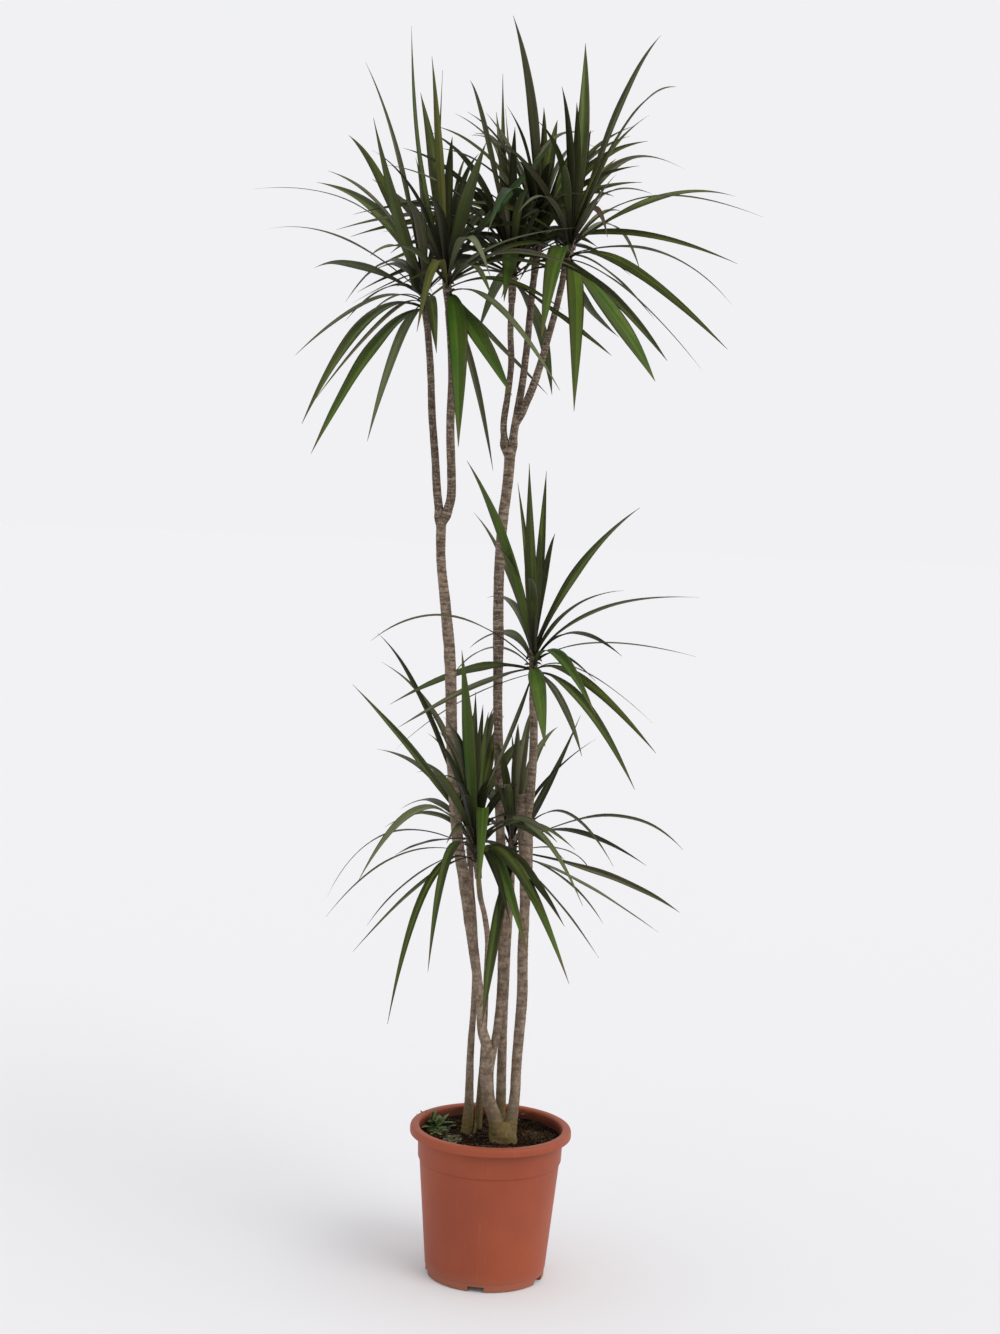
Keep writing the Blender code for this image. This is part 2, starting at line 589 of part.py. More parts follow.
def leaf_shape(leaf, heart, along, extra=0.0):
    """Corners and faces of one keeled leaf, thicker and wider by extra."""
    bearing, reach, rise, _, _, width, twist = leaf
    root, bent, tip = leaf_line(leaf, heart, along)
    length = math.hypot(reach, rise)
    across = Vector((-math.sin(bearing), math.cos(bearing), 0.0))
    corners = []
    for t in LEAF_STATIONS:
        middle = (1 - t) ** 2 * root + 2 * t * (1 - t) * bent + t * t * tip
        forward = (2 * (1 - t) * (bent - root) + 2 * t * (tip - bent)).normalized()
        upper = forward.cross(across)
        side = across * math.cos(twist * t) + upper * math.sin(twist * t)
        normal = forward.cross(side)
        half = width * width_share(t) / 2 + extra
        depth = THICKNESS_SHARE * length * (1 - t ** 3) + extra
        corners.append(middle + side * half + normal * extra)
        corners.append(middle - side * half + normal * extra)
        corners.append(middle - normal * depth)
    corners.append(tip + (tip - bent).normalized() * extra)
    last = len(corners) - 1
    faces = [(0, 2, 1)]
    for ring in range(len(LEAF_STATIONS) - 1):
        start = 3 * ring
        for corner in range(3):
            follow = (corner + 1) % 3
            faces.append((start + corner, start + follow, start + corner + 3))
            faces.append((start + corner + 3, start + follow, start + follow + 3))
    start = last - 3
    for corner in range(3):
        faces.append((start + corner, start + (corner + 1) % 3, last))
    return corners, faces


def marked_leaf(row, deeper):
    """A listed leaf in metres and radians, reaching a little further to the front or the back."""
    bearing, reach, rise, bend, lift, width = row
    across = reach * CM * math.cos(math.radians(bearing))
    away = reach * CM * math.sin(math.radians(bearing)) * (1 + deeper)
    turn_to_light = TURN_TO_LIGHT * across / (reach * CM)
    twist = turn_to_light + TWIST_LIMIT * math.sin(TWIST_WANDER * bearing + reach)
    return (
        math.atan2(away, across), math.hypot(across, away), rise * CM, bend, lift * CM, width * MM,
        twist,
    )


def fill_leaf(number, dice, spin):
    """One of the further leaves, younger and steeper with a lower number."""
    age = ((number * AGE_STEP) % 1.0) ** AGE_POWER
    angle = number * GOLDEN_ANGLE
    side = math.pi / 2 if number % 2 else -math.pi / 2
    bearing = side + FILL_SPREAD * math.sin(angle) + math.radians(spin)
    play = dice.uniform(-FILL_SLOPE_PLAY, FILL_SLOPE_PLAY)
    slope = FILL_STEEPEST + age * (FILL_LOWEST - FILL_STEEPEST) + play
    growth = min(1.0, YOUNGEST_LENGTH + age) * dice.uniform(SHORTEST_DRAW, 1.0)
    length = FILL_SHORTEST + (FILL_LONGEST - FILL_SHORTEST) * growth
    reach = length * math.cos(slope)
    rise = length * math.sin(slope)
    lift = rise / 2 + FILL_ARCH * (YOUNGEST_ARCH + (1 - YOUNGEST_ARCH) * age)
    width = dice.uniform(*FILL_WIDTHS)
    twist = TURN_TO_LIGHT * math.cos(bearing) + dice.uniform(-TWIST_LIMIT, TWIST_LIMIT)
    return bearing, reach, rise, FILL_BEND, lift, width, twist


def tree_of(corners, faces):
    """A search tree of some faces, for finding what they touch."""
    return BVHTree.FromPolygons([tuple(corner) for corner in corners], faces)


def tree_of_mesh(thing):
    """A search tree of an object's faces."""
    return tree_of(
        [corner.co for corner in thing.data.vertices],
        [tuple(face.vertices) for face in thing.data.polygons],
    )


class Crown:
    """The leaves of every rosette, each kept clear of the limbs and of the other rosettes."""

    def __init__(self, limbs, shoots):
        self.limb_trees = [tree_of_mesh(limb) for limb in limbs.values()]
        self.solid_trees = {name: [tree_of_mesh(shoot)] for name, shoot in shoots.items()}
        self.leaves = {name: [] for name in ROSETTES}
        self.axes = {}
        for name, (bearer, heart, _) in ROSETTES.items():
            path = shoot_path(bearer, heart)
            self.axes[name] = (Vector(heart) * CM, (path[-1][0] - path[0][0]).normalized())

    def is_clear(self, name, leaf):
        """Whether a leaf stays clear of the limbs and of the other rosettes."""
        heart, along = self.axes[name]
        tree = tree_of(*leaf_shape(leaf, heart, along, LEAF_CLEARANCE))
        for limb in self.limb_trees:
            if tree.overlap(limb):
                return False
        for other, trees in self.solid_trees.items():
            if other == name:
                continue
            for solid in trees:
                if tree.overlap(solid):
                    return False
        return True

    def place(self, name, choices):
        """Keep the first of some choices that is clear; skip the leaf when none is."""
        for leaf in choices:
            if self.is_clear(name, leaf):
                heart, along = self.axes[name]
                shape = leaf_shape(leaf, heart, along)
                self.solid_trees[name].append(tree_of(*shape))
                self.leaves[name].append(leaf)
                return

    def grow(self, each):
        """Place the listed leaves first, then further ones in turn up to a number a rosette."""
        for name, (_, _, rows) in ROSETTES.items():
            for row in rows:
                self.place(name, [marked_leaf(row, deeper) for deeper in DEPTH_NUDGES])
        dice = random.Random(DICE_SEED)
        for number in range(each):
            for name in ROSETTES:
                if len(self.leaves[name]) < each:
                    seed = dice.random()
                    choices = [
                        fill_leaf(number, random.Random(seed), spin) for spin in TURN_NUDGES
                    ]
                    self.place(name, choices)


def build_rosette(name, shoot, crown, group, tools, green):
    """Fuse a shoot and its leaves into one body."""
    heart, along = crown.axes[name]
    for leaf in crown.leaves[name]:
        corners, faces = leaf_shape(leaf, heart, along)
        mesh = bpy.data.meshes.new("leaf")
        mesh.from_pydata([tuple(corner) for corner in corners], [], faces)
        mesh_object("leaf", mesh, tools)
    join_with(shoot, tools, "UNION", "MANIFOLD")
    keep_largest_part(shoot)
    shoot.data.materials.clear()
    shoot.data.materials.append(green)


def build():
    """Build the whole plant and its pot."""
    clear_scene()
    group = new_collection(COLLECTION)
    cutters = new_collection(CUTTERS)
    cutters.hide_render = True
    build_pot(group, cutters)
    build_soil(group)
    bark = material("cane_bark", COLOURS["cane"], CANE_ROUGHNESS)
    green = material("leaf_green", COLOURS["leaf"], LEAF_ROUGHNESS)
    limbs = build_limbs(group, cutters, bark)
    shoots = {}
    for name, (bearer, heart, _) in ROSETTES.items():
        shoots[name] = tube(name, shoot_path(bearer, heart), group)
    crown = Crown(limbs, shoots)
    crown.grow(LEAVES_EACH)
    for name, shoot in shoots.items():
        build_rosette(name, shoot, crown, group, cutters, green)


build()
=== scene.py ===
"""Looks of the potted Madagascar dragon tree: its leaves, canes, soil, pot and the studio round it.

Lengths are in metres, Z is up and the front of the plant faces -Y. The lines of the canes and the
rule of the leaves are those of the plant's solids, drawn finer and grown fuller.
"""

import logging
import math
import random
from dataclasses import dataclass, field
from enum import Enum
from itertools import product
from typing import Union

import bpy
import numpy as np
from mathutils import Matrix, Vector
from mathutils.bvhtree import BVHTree


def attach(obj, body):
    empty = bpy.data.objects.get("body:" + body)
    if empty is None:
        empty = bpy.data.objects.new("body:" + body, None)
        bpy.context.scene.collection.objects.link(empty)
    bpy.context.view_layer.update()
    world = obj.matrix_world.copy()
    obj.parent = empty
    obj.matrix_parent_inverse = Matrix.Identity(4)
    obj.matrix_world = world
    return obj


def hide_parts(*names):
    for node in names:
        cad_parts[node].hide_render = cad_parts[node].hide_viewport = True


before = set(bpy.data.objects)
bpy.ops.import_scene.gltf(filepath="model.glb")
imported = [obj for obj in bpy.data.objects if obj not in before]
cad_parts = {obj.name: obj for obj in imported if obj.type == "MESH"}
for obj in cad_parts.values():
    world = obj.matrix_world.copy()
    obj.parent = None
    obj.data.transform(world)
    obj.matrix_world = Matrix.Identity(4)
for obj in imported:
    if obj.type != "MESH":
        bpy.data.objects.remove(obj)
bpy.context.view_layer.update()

LOG = logging.getLogger("dragon_tree")
MM = 0.001
CM = 0.01
TAU = 2 * math.pi
TINY = 1e-12
BODY = "root"
UP = np.array([0.0, 0.0, 1.0])

Shape = np.ndarray
Place = tuple[float, float, float]
Colour = tuple[float, float, float]
Span = tuple[float, float]
Thing = bpy.types.Object
Paint = bpy.types.Material


def unit(arrows: Shape) -> Shape:
    """Scale arrows, whose last axis holds x, y and z, to length one."""
    return arrows / np.maximum(np.linalg.norm(arrows, axis=-1, keepdims=True), TINY)


def blend(share: Shape, low: Shape, high: Shape) -> Shape:
    """Go from one value, where the share is 0, to another, where it is 1."""
    return low + (high - low) * share


def ease(value: Shape, low: float = 0.0, high: float = 1.0) -> Shape:
    """Ease from 0 at one value to 1 at another: three times the square less twice the cube."""
    held = np.clip((value - low) / (high - low), 0.0, 1.0)
    return held * held * (3 - 2 * held)


def bell(value: Shape, middle: float, width: float) -> Shape:
    """A smooth hump, 1 at its middle and about a third at its width."""
    return np.exp(-((value - middle) / width) ** 2)


def arch(t: Shape, first: Shape, bend: Shape, last: Shape) -> Shape:
    """Places on the parabola that leaves the first place towards the bend and ends at the last."""
    return (1 - t) ** 2 * first + 2 * t * (1 - t) * bend + t ** 2 * last


def course(t: Shape, first: Shape, bend: Shape, last: Shape) -> Shape:
    """The way that the same parabola runs at its places."""
    return unit(2 * (1 - t) * (bend - first) + 2 * t * (last - bend))


def blade_frame(forward: Shape, across: Shape, turn: Shape) -> tuple[Shape, Shape]:
    """The ways across a blade and out of its upper face, once it has turned about its line."""
    side = across * np.cos(turn) + np.cross(forward, across) * np.sin(turn)
    return side, np.cross(forward, side)


def compass(angle: Shape) -> tuple[Shape, Shape]:
    """Level directions at some angles: straight out, and a quarter turn to the left of that."""
    cosine, sine = np.cos(angle), np.sin(angle)
    return np.stack([cosine, sine, 0 * angle], -1), np.stack([-sine, cosine, 0 * angle], -1)


def around(sides: int) -> Shape:
    """Even angles round a ring, from 0 to just below a whole turn."""
    return np.linspace(0, TAU, sides, endpoint=False)


def spokes(first: Shape, second: Shape, sides: int) -> Shape:
    """Even ways out from a line, whose places each have two ways across it."""
    angle = around(sides)[:, None]
    return first[..., None, :] * np.cos(angle) + second[..., None, :] * np.sin(angle)


def revolve(section: Shape, sides: int) -> Shape:
    """Turn a section about Z: each ring has the section's radius, cosine and sine."""
    return section[:, None, :1] * compass(around(sides))[0] + section[:, None, 1:] * UP


class Lumps:
    """Smooth unevenness in space: random heights on a lattice, eased between its corners."""

    SIDE = 32

    def __init__(self, seed: int) -> None:
        """Draw the lattice's heights, between -1 and 1, from a seed."""
        self.heights = np.random.default_rng(seed).uniform(-1.0, 1.0, (self.SIDE,) * 3)

    def at(self, places: Shape, size: float) -> Shape:
        """Heights at some places: each blends the eight lattice corners round it by eased shares.

        Args:
            places: Array whose last axis holds x, y and z.
            size: Width of one lump in the units of the places.

        Returns:
            One height for each place, between -1 and 1.
        """
        scaled = places / size
        cell = np.floor(scaled).astype(int)
        share = ease(scaled - cell)
        total = np.zeros(places.shape[:-1])
        for corner in product((0, 1), repeat=3):
            weight = np.prod(np.abs(1 - np.array(corner) - share), -1)
            total += weight * self.heights[tuple(np.moveaxis((cell + corner) % self.SIDE, -1, 0))]
        return total


def skin(
    name: str,
    rings: Shape,
    chart: Shape | None = None,
    marks: dict[str, Shape] | None = None,
    kinds: Shape | None = None,
) -> Thing:
    """Stretch a closed skin over bodies made of rings, with a flat face on each end.

    A ring runs anticlockwise as seen looking back from the next ring, so faces point outwards.

    Args:
        name: The object's name.
        rings: Corner places, as body, ring, corner and then x, y, z.
        chart: Place on the surface's own map, as body, ring, corner and then u, v. It has one
            corner more than the ring, because the last repeats the first beyond the seam.
        marks: Named numbers for each corner, as body, ring, corner.
        kinds: Material number of each body.

    Returns:
        The new object, linked to the scene.
    """
    bodies, count, sides = rings.shape[:3]
    corner = np.arange(bodies * count * sides).reshape(bodies, count, sides)
    ahead = np.roll(corner, -1, axis=2)
    walls = np.stack([corner[:, :-1], ahead[:, :-1], ahead[:, 1:], corner[:, 1:]], -1)
    ends = np.stack([corner[:, 0, ::-1], corner[:, -1]], axis=1)
    wall_total = bodies * (count - 1) * sides
    order = np.concatenate([walls.ravel(), ends.ravel()])
    starts = np.concatenate(
        [4 * np.arange(wall_total), 4 * wall_total + sides * np.arange(2 * bodies)]
    )
    mesh = bpy.data.meshes.new(name)
    mesh.vertices.add(corner.size)
    mesh.vertices.foreach_set("co", rings.astype(np.float32).ravel())
    mesh.loops.add(len(order))
    mesh.loops.foreach_set("vertex_index", order.astype(np.int32))
    mesh.polygons.add(len(starts))
    mesh.polygons.foreach_set("loop_start", starts.astype(np.int32))
    mesh.update(calc_edges=True)
    mesh.polygons.foreach_set("use_smooth", np.ones(len(starts), bool))
    if kinds is not None:
        each = np.concatenate([np.repeat(kinds, (count - 1) * sides), np.repeat(kinds, 2)])
        mesh.polygons.foreach_set("material_index", each.astype(np.int32))
    if chart is not None:
        spread = np.stack(
            [chart[:, :-1, :-1], chart[:, :-1, 1:], chart[:, 1:, 1:], chart[:, 1:, :-1]], axis=3
        )
        lids = np.stack([chart[:, 0, -2::-1], chart[:, -1, :-1]], axis=1)
        both = np.concatenate([spread.ravel(), lids.ravel()])
        mesh.uv_layers.new(name="chart").uv.foreach_set("vector", both.astype(np.float32))
    for title, numbers in (marks or {}).items():
        made = mesh.attributes.new(title, "FLOAT", "POINT")
        made.data.foreach_set("value", numbers.astype(np.float32).ravel())
    return linked(name, mesh)


def linked(name: str, data: bpy.types.ID) -> Thing:
    """A new object that holds a mesh, a light or a camera, linked to the scene.

    Args:
        name: The object's name.
        data: What it holds.

    Returns:
        The object.
    """
    made = bpy.data.objects.new(name, data)
    bpy.context.scene.collection.objects.link(made)
    return made


def dress(piece: Thing, paints: list[Paint], nodes: tuple[str, ...] = ()) -> None:
    """Give a piece its materials, hang it on the body, and hide the solids that it stands for.

    Args:
        piece: The piece.
        paints: Its materials, in the order of their numbers.
        nodes: Solids that the piece stands for.
    """
    for paint in paints:
        piece.data.materials.append(paint)
    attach(piece, BODY)
    if nodes:
        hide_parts(*nodes)
    LOG.info("%s: %d faces", piece.name, len(piece.data.polygons))


Value = Union["Signal", float, tuple]


class Signal:
    """A shader socket that takes part in arithmetic."""

    def __init__(self, palette: "Palette", socket: bpy.types.NodeSocket) -> None:
        """Hold an output socket of a palette's material."""
        self.palette = palette
        self.socket = socket

    def _sum(self, kind: str, first: Value, second: Value = 0.0) -> "Signal":
        """Add a Math node that works on two values."""
        return self.palette.node("ShaderNodeMath", {0: first, 1: second}, operation=kind)

    def __add__(self, other: Value) -> "Signal":
        """Sum of this and another value."""
        return self._sum("ADD", self, other)

    def __radd__(self, other: Value) -> "Signal":
        """Sum of another value and this."""
        return self._sum("ADD", other, self)

    def __sub__(self, other: Value) -> "Signal":
        """This less another value."""
        return self._sum("SUBTRACT", self, other)

    def __rsub__(self, other: Value) -> "Signal":
        """Another value less this."""
        return self._sum("SUBTRACT", other, self)

    def __mul__(self, other: Value) -> "Signal":
        """Product of this and another value."""
        return self._sum("MULTIPLY", self, other)

    def __abs__(self) -> "Signal":
        """This without its sign."""
        return self._sum("ABSOLUTE", self)

    def ramp(self, low: float, high: float) -> "Signal":
        """Ease from 0 at one value of this to 1 at another.

        Args:
            low: Value where the result is 0.
            high: Value where the result is 1; it may be the lower one.

        Returns:
            The eased value, held between 0 and 1.
        """
        sockets = {"Value": self, "From Min": min(low, high), "From Max": max(low, high)}
        eased = self.palette.node(
            "ShaderNodeMapRange", sockets, interpolation_type="SMOOTHSTEP"
        )
        return 1 - eased if high < low else eased


class Palette:
    """One procedural material while it is being mixed."""

    def __init__(self, name: str) -> None:
        """Start a named material with a Principled shader.

        Args:
            name: The material's name.
        """
        self.material = bpy.data.materials.new(name)
        self.material.use_nodes = True
        self.tree = self.material.node_tree
        self.shader = self.tree.nodes["Principled BSDF"]

    def feed(self, socket: bpy.types.NodeSocket, value: Value) -> None:
        """Link a signal to a socket, or set the socket to a value.

        Args:
            socket: An input socket.
            value: What it gets.
        """
        if isinstance(value, Signal):
            self.tree.links.new(value.socket, socket)
        elif socket.type == "RGBA":
            socket.default_value = (*value, 1.0)
        else:
            socket.default_value = value

    def node(self, kind: str, sockets: dict, output: str | int = 0, **settings: str) -> Signal:
        """Add one node, set it and feed its sockets.

        Args:
            kind: The node's type.
            sockets: Values or links, by socket name or number.
            output: Name or number of the output that is wanted.
            settings: Its properties, set first.

        Returns:
            That output.
        """
        made = self.tree.nodes.new(kind)
        for title, setting in settings.items():
            setattr(made, title, setting)
        for key, value in sockets.items():
            self.feed(made.inputs[key], value)
        return Signal(self, made.outputs[output])

    def place(self, stretch: Place = (1.0, 1.0, 1.0)) -> Signal:
        """The place on the object in metres, stretched along its axes."""
        where = self.node("ShaderNodeTexCoord", {}, "Object")
        return self.node("ShaderNodeVectorMath", {0: where, 1: stretch}, operation="MULTIPLY")

    def part(self, where: Signal, axis: str) -> Signal:
        """One of the three numbers of a place."""
        return self.node("ShaderNodeSeparateXYZ", {0: where}, axis)

    def chart(self) -> tuple[Signal, Signal]:
        """The place on the surface's own map, as u and v."""
        where = self.node("ShaderNodeUVMap", {}, "UV", uv_map="chart")
        return self.part(where, "X"), self.part(where, "Y")

    def mark(self, title: str) -> Signal:
        """A number that each corner of the mesh carries."""
        return self.node("ShaderNodeAttribute", {}, "Fac", attribute_name=title)

    def vector(self, x: Value, y: Value, z: Value) -> Signal:
        """A place put together from three numbers."""
        return self.node("ShaderNodeCombineXYZ", {"X": x, "Y": y, "Z": z})

    def cloud(self, where: Signal, scale: float, detail: float = 3.0, rough: float = 0.55) -> Signal:
        """Soft random patches between 0 and 1.

        Args:
            where: Place to read them at.
            scale: How many patches in one unit of that place.
            detail: How many finer layers.
            rough: How strong the finer layers are.

        Returns:
            The patches' strength.
        """
        sockets = {"Vector": where, "Scale": scale, "Detail": detail, "Roughness": rough}
        return self.node("ShaderNodeTexNoise", sockets, "Fac")

    def layers(self, ground: Value, *coats: tuple[Value, Value]) -> Signal:
        """Lay coats over a ground colour, each by its share and then its colour.

        Args:
            ground: The colour below.
            coats: Each coat's share, from 0 to 1, and its colour.

        Returns:
            The colour on top.
        """
        for share, coat in coats:
            ground = self.node("ShaderNodeMix", {0: share, 6: ground, 7: coat}, 2, data_type="RGBA")
        return ground

    def finish(
        self,
        colour: Value,
        roughness: Value,
        height: Signal | None = None,
        relief: float = 0.0,
        gloss: float = 0.5,
    ) -> Paint:
        """Feed the shader and hand over the material.

        Args:
            colour: Base colour.
            roughness: How matte the surface is.
            height: Height of the fine relief, from 0 to 1.
            relief: Depth of that relief in metres.
            gloss: Strength of the highlights.

        Returns:
            The finished material.
        """
        self.feed(self.shader.inputs["Base Color"], colour)
        self.feed(self.shader.inputs["Roughness"], roughness)
        self.feed(self.shader.inputs["Specular IOR Level"], gloss)
        if height is not None:
            sockets = {"Height": height, "Distance": relief, "Strength": 1.0}
            self.feed(self.shader.inputs["Normal"], self.node("ShaderNodeBump", sockets))
        return self.material


class Tone(Enum):
    """How a leaf is coloured; the value is its material's number."""

    DEEP = 0
    MIDDLE = 1
    BRIGHT = 2
    BLUISH = 3
    AGEING = 4
    WITHERED = 5
    OLIVE = 6
    # Nearly black: a darker leaf tone that partly stands for the shade inside the crown, so partly
    # painted shade.
    DUSKY = 7
    PALE = 8


DEEP, MIDDLE, BRIGHT, BLUISH, AGEING, WITHERED, OLIVE, DUSKY, PALE = Tone


@dataclass(frozen=True)
class LeafFinish:
    """A leaf's colours, how strong the painted shade on its darker half is, and how long its dark base
    is: partly the stalk's own colour, partly painted shade of the crown's core.
    """

    blade: Colour
    streak: Colour
    under: Colour
    margin: Colour
    tip: Colour
    # Dark colour of the stalk and the margins, also used for the painted shade of a leaf's darker half
    # and base.
    stalk_and_shade: Colour = (0.016, 0.012, 0.006)
    shadow: float = 0.62
    dark_and_shaded_base: float = 0.42
    roughness: float = 0.42
    dust: Colour = (0.20, 0.20, 0.14)

    def paint(self, name: str) -> Paint:
        """Mix the leaf's material, which reads the leaf's own map: u runs across it, v along it.

        Args:
            name: The material's name.

        Returns:
            The material.
        """
        mix = Palette(name)
        across, along = mix.chart()
        edge = abs(across - 0.5) * 2
        leaf = mix.mark("leaf")
        below = mix.mark("below")
        fibre = mix.cloud(mix.vector(across * 34, along * 1.6, leaf * 40), 1, 3)
        streak = mix.cloud(mix.vector(across * 5, along * 1.5, leaf * 61), 1, 2)
        patch = mix.cloud(mix.vector(across * 1.2, along * 4, leaf * 23), 1, 2)
        dust = mix.cloud(mix.place(), 140, 3)
        shade = mix.node("ShaderNodeTexWhiteNoise", {"W": leaf}, noise_dimensions="1D")
        light = streak.ramp(0.38, 0.62) * 0.45 + patch.ramp(0.36, 0.64) * 0.35 + fibre * 0.2
        light = light * (0.45 + shade) + edge.ramp(0.7, 0.0) * 0.25
        # One half of each leaf, picked at random, gets painted shade, as if its fold turned that half
        # away from the light.
        turned = abs(across - shade.ramp(0.48, 0.52))
        band = edge + (streak - 0.5) * 0.4 + (patch - 0.5) * 0.4
        # The dark base is partly the leaf's own darker stalk and partly painted shade of the crown's
        # thick core.
        base = along + (patch - 0.5) * 0.10
        scorch = along + (patch - 0.5) * 0.12
        colour = mix.layers(
            self.blade,
            (light, self.streak),
            (turned.ramp(0.44, 0.54) * self.shadow, self.stalk_and_shade),
            (below * 0.45 + along.ramp(0.45, 0.95) * 0.3, self.under),
            (band.ramp(0.72, 0.96) * 0.8, self.margin),
            (edge.ramp(0.92, 0.99) * 0.5, self.stalk_and_shade),
            (base.ramp(self.dark_and_shaded_base, self.dark_and_shaded_base / 10) * 0.9, self.stalk_and_shade),
            (scorch.ramp(0.88, 1.0) * 0.9, self.tip),
            (dust.ramp(0.5, 0.8) * 0.05, self.dust),
        )
        roughness = self.roughness + fibre * 0.12 + below * 0.12
        return mix.finish(colour, roughness, fibre * 0.7, 0.3 * MM, 0.07)


LEAF_FINISHES = {
    DEEP: LeafFinish(
        (0.013, 0.026, 0.003), (0.105, 0.140, 0.024), (0.050, 0.062, 0.024), (0.062, 0.046, 0.028),
        (0.085, 0.055, 0.032),
    ),
    MIDDLE: LeafFinish(
        (0.026, 0.050, 0.007), (0.120, 0.162, 0.042), (0.072, 0.085, 0.034), (0.090, 0.070, 0.042),
        (0.10, 0.066, 0.036),
    ),
    BRIGHT: LeafFinish(
        (0.024, 0.086, 0.008), (0.108, 0.162, 0.022), (0.070, 0.095, 0.030), (0.090, 0.082, 0.036),
        (0.13, 0.090, 0.040), (0.018, 0.020, 0.006), 0.5, 0.2,
    ),
    BLUISH: LeafFinish(
        (0.010, 0.040, 0.008), (0.044, 0.104, 0.028), (0.040, 0.070, 0.026), (0.050, 0.050, 0.028),
        (0.09, 0.062, 0.036),
    ),
    AGEING: LeafFinish(
        (0.045, 0.066, 0.008), (0.155, 0.165, 0.034), (0.100, 0.105, 0.036), (0.110, 0.084, 0.038),
        (0.18, 0.120, 0.050), (0.050, 0.046, 0.014), 0.45, 0.25,
    ),
    WITHERED: LeafFinish(
        (0.080, 0.058, 0.042), (0.170, 0.125, 0.092), (0.120, 0.088, 0.068), (0.065, 0.042, 0.030),
        (0.13, 0.090, 0.06), (0.08, 0.054, 0.042), 0.2, 0.1, 0.7,
    ),
    OLIVE: LeafFinish(
        (0.046, 0.052, 0.020), (0.150, 0.158, 0.080), (0.085, 0.086, 0.048), (0.115, 0.088, 0.062),
        (0.11, 0.074, 0.048),
    ),
    DUSKY: LeafFinish(
        (0.005, 0.008, 0.002), (0.038, 0.050, 0.010), (0.024, 0.027, 0.011), (0.040, 0.029, 0.016),
        (0.06, 0.040, 0.026), (0.010, 0.009, 0.004),
    ),
    PALE: LeafFinish(
        (0.075, 0.098, 0.038), (0.195, 0.228, 0.105), (0.115, 0.128, 0.068), (0.120, 0.098, 0.066),
        (0.13, 0.096, 0.064), (0.046, 0.044, 0.024), 0.35, 0.25,
    ),
}


@dataclass(frozen=True)
class BarkFinish:
    """The canes' bark: grey-brown, ringed pale and dark, greener and mossy by the soil."""

    name: str = "cane_bark"
    ground: Colour = (0.168, 0.120, 0.083)
    pale: Colour = (0.340, 0.262, 0.198)
    dark: Colour = (0.042, 0.027, 0.019)
    # Colour of young bark, and also of the painted shadow on the tall middle cane.
    young: Colour = (0.125, 0.094, 0.070)
    old: Colour = (0.122, 0.088, 0.046)
    mossy: Colour = (0.148, 0.106, 0.032)
    plain_below: float = 0.50
    ringed_above: float = 0.95

    def paint(self) -> Paint:
        """Mix the bark: ring scars come with the mesh, patches and cracks are worked out here.

        Returns:
            The material.
        """
        mix = Palette(self.name)
        scar, youth, low = (mix.mark(title) for title in ("scar", "youth", "low"))
        place = mix.place()
        patch = mix.cloud(place, 95, 4, 0.6)
        crack = mix.cloud(mix.place((1, 1, 0.14)), 900, 3, 0.6)
        grain = mix.cloud(place, 1500, 2)
        band = mix.cloud(mix.place((0.25, 0.25, 1)), 130, 2)
        bar = mix.cloud(mix.place((0.22, 0.22, 1)), 230, 2, 0.5)
        speckle = mix.cloud(mix.place((1, 1, 0.5)), 420, 3, 0.65)
        worn = low * -0.6 + 1.0
        height = mix.part(place, "Z")
        ringed = (height.ramp(self.plain_below, self.ringed_above) * 0.75 + 0.25) * worn
        colour = mix.layers(
            self.ground,
            (patch.ramp(0.35, 0.7), self.pale),
            (band.ramp(0.42, 0.70) * (0.50 - low * 0.35), self.dark),
            # The youth mark is the limb's youth, and on the tall middle cane it is the painted shadow of
            # the rosette above.
            ((youth + (patch - 0.5) * 0.5).ramp(0.0, 0.9) * 0.9, self.young),
            (low * 0.8, self.old),
            ((low + (patch - 0.5) * 0.3).ramp(0.72, 0.96) * 0.9, self.mossy),
            (scar.ramp(0.10, 0.8) * 0.8 * ringed, self.pale),
            (bar.ramp(0.53, 0.64) * 0.6 * ringed, self.pale),
            (bar.ramp(0.46, 0.36) * 0.45 * ringed, self.dark),
            (scar.ramp(-0.05, -0.6) * 0.9 * ringed, self.dark),
            (speckle.ramp(0.54, 0.72) * (0.30 + youth * 0.5) * worn, self.pale),
            (speckle.ramp(0.50, 0.32) * (0.55 + youth * 0.35) * worn, self.dark),
            (crack.ramp(0.42, 0.25) * 0.6, self.dark),
        )
        relief = crack * 0.6 + grain * 0.3 + scar * 0.3
        return mix.finish(colour, 0.86 - patch * 0.1, relief, 0.5 * MM, 0.1)


@dataclass(frozen=True)
class StumpFinish:
    """The stump's bark: olive and yellowish where it was rubbed, pale where it was cut."""

    name: str = "stump_bark"
    olive: Colour = (0.158, 0.116, 0.030)
    grey: Colour = (0.136, 0.092, 0.040)
    dark: Colour = (0.040, 0.030, 0.018)
    pale: Colour = (0.270, 0.205, 0.115)

    def paint(self) -> Paint:
        """Mix the stump's patches by the place on it.

        Returns:
            The material.
        """
        mix = Palette(self.name)
        patch = mix.cloud(mix.place(), 120, 4, 0.6)
        fine = mix.cloud(mix.place(), 700, 3)
        crack = mix.cloud(mix.place((1, 1, 0.6)), 420, 3, 0.6)
        cut = mix.mark("low") * 0.5 + patch
        colour = mix.layers(
            self.olive,
            (patch.ramp(0.38, 0.62), self.grey),
            (cut.ramp(0.98, 1.16) * 0.45, self.pale),
            (crack.ramp(0.45, 0.3) * 0.7, self.dark),
        )
        return mix.finish(colour, 0.8, crack * 0.6 + fine * 0.4, 0.6 * MM, 0.3)


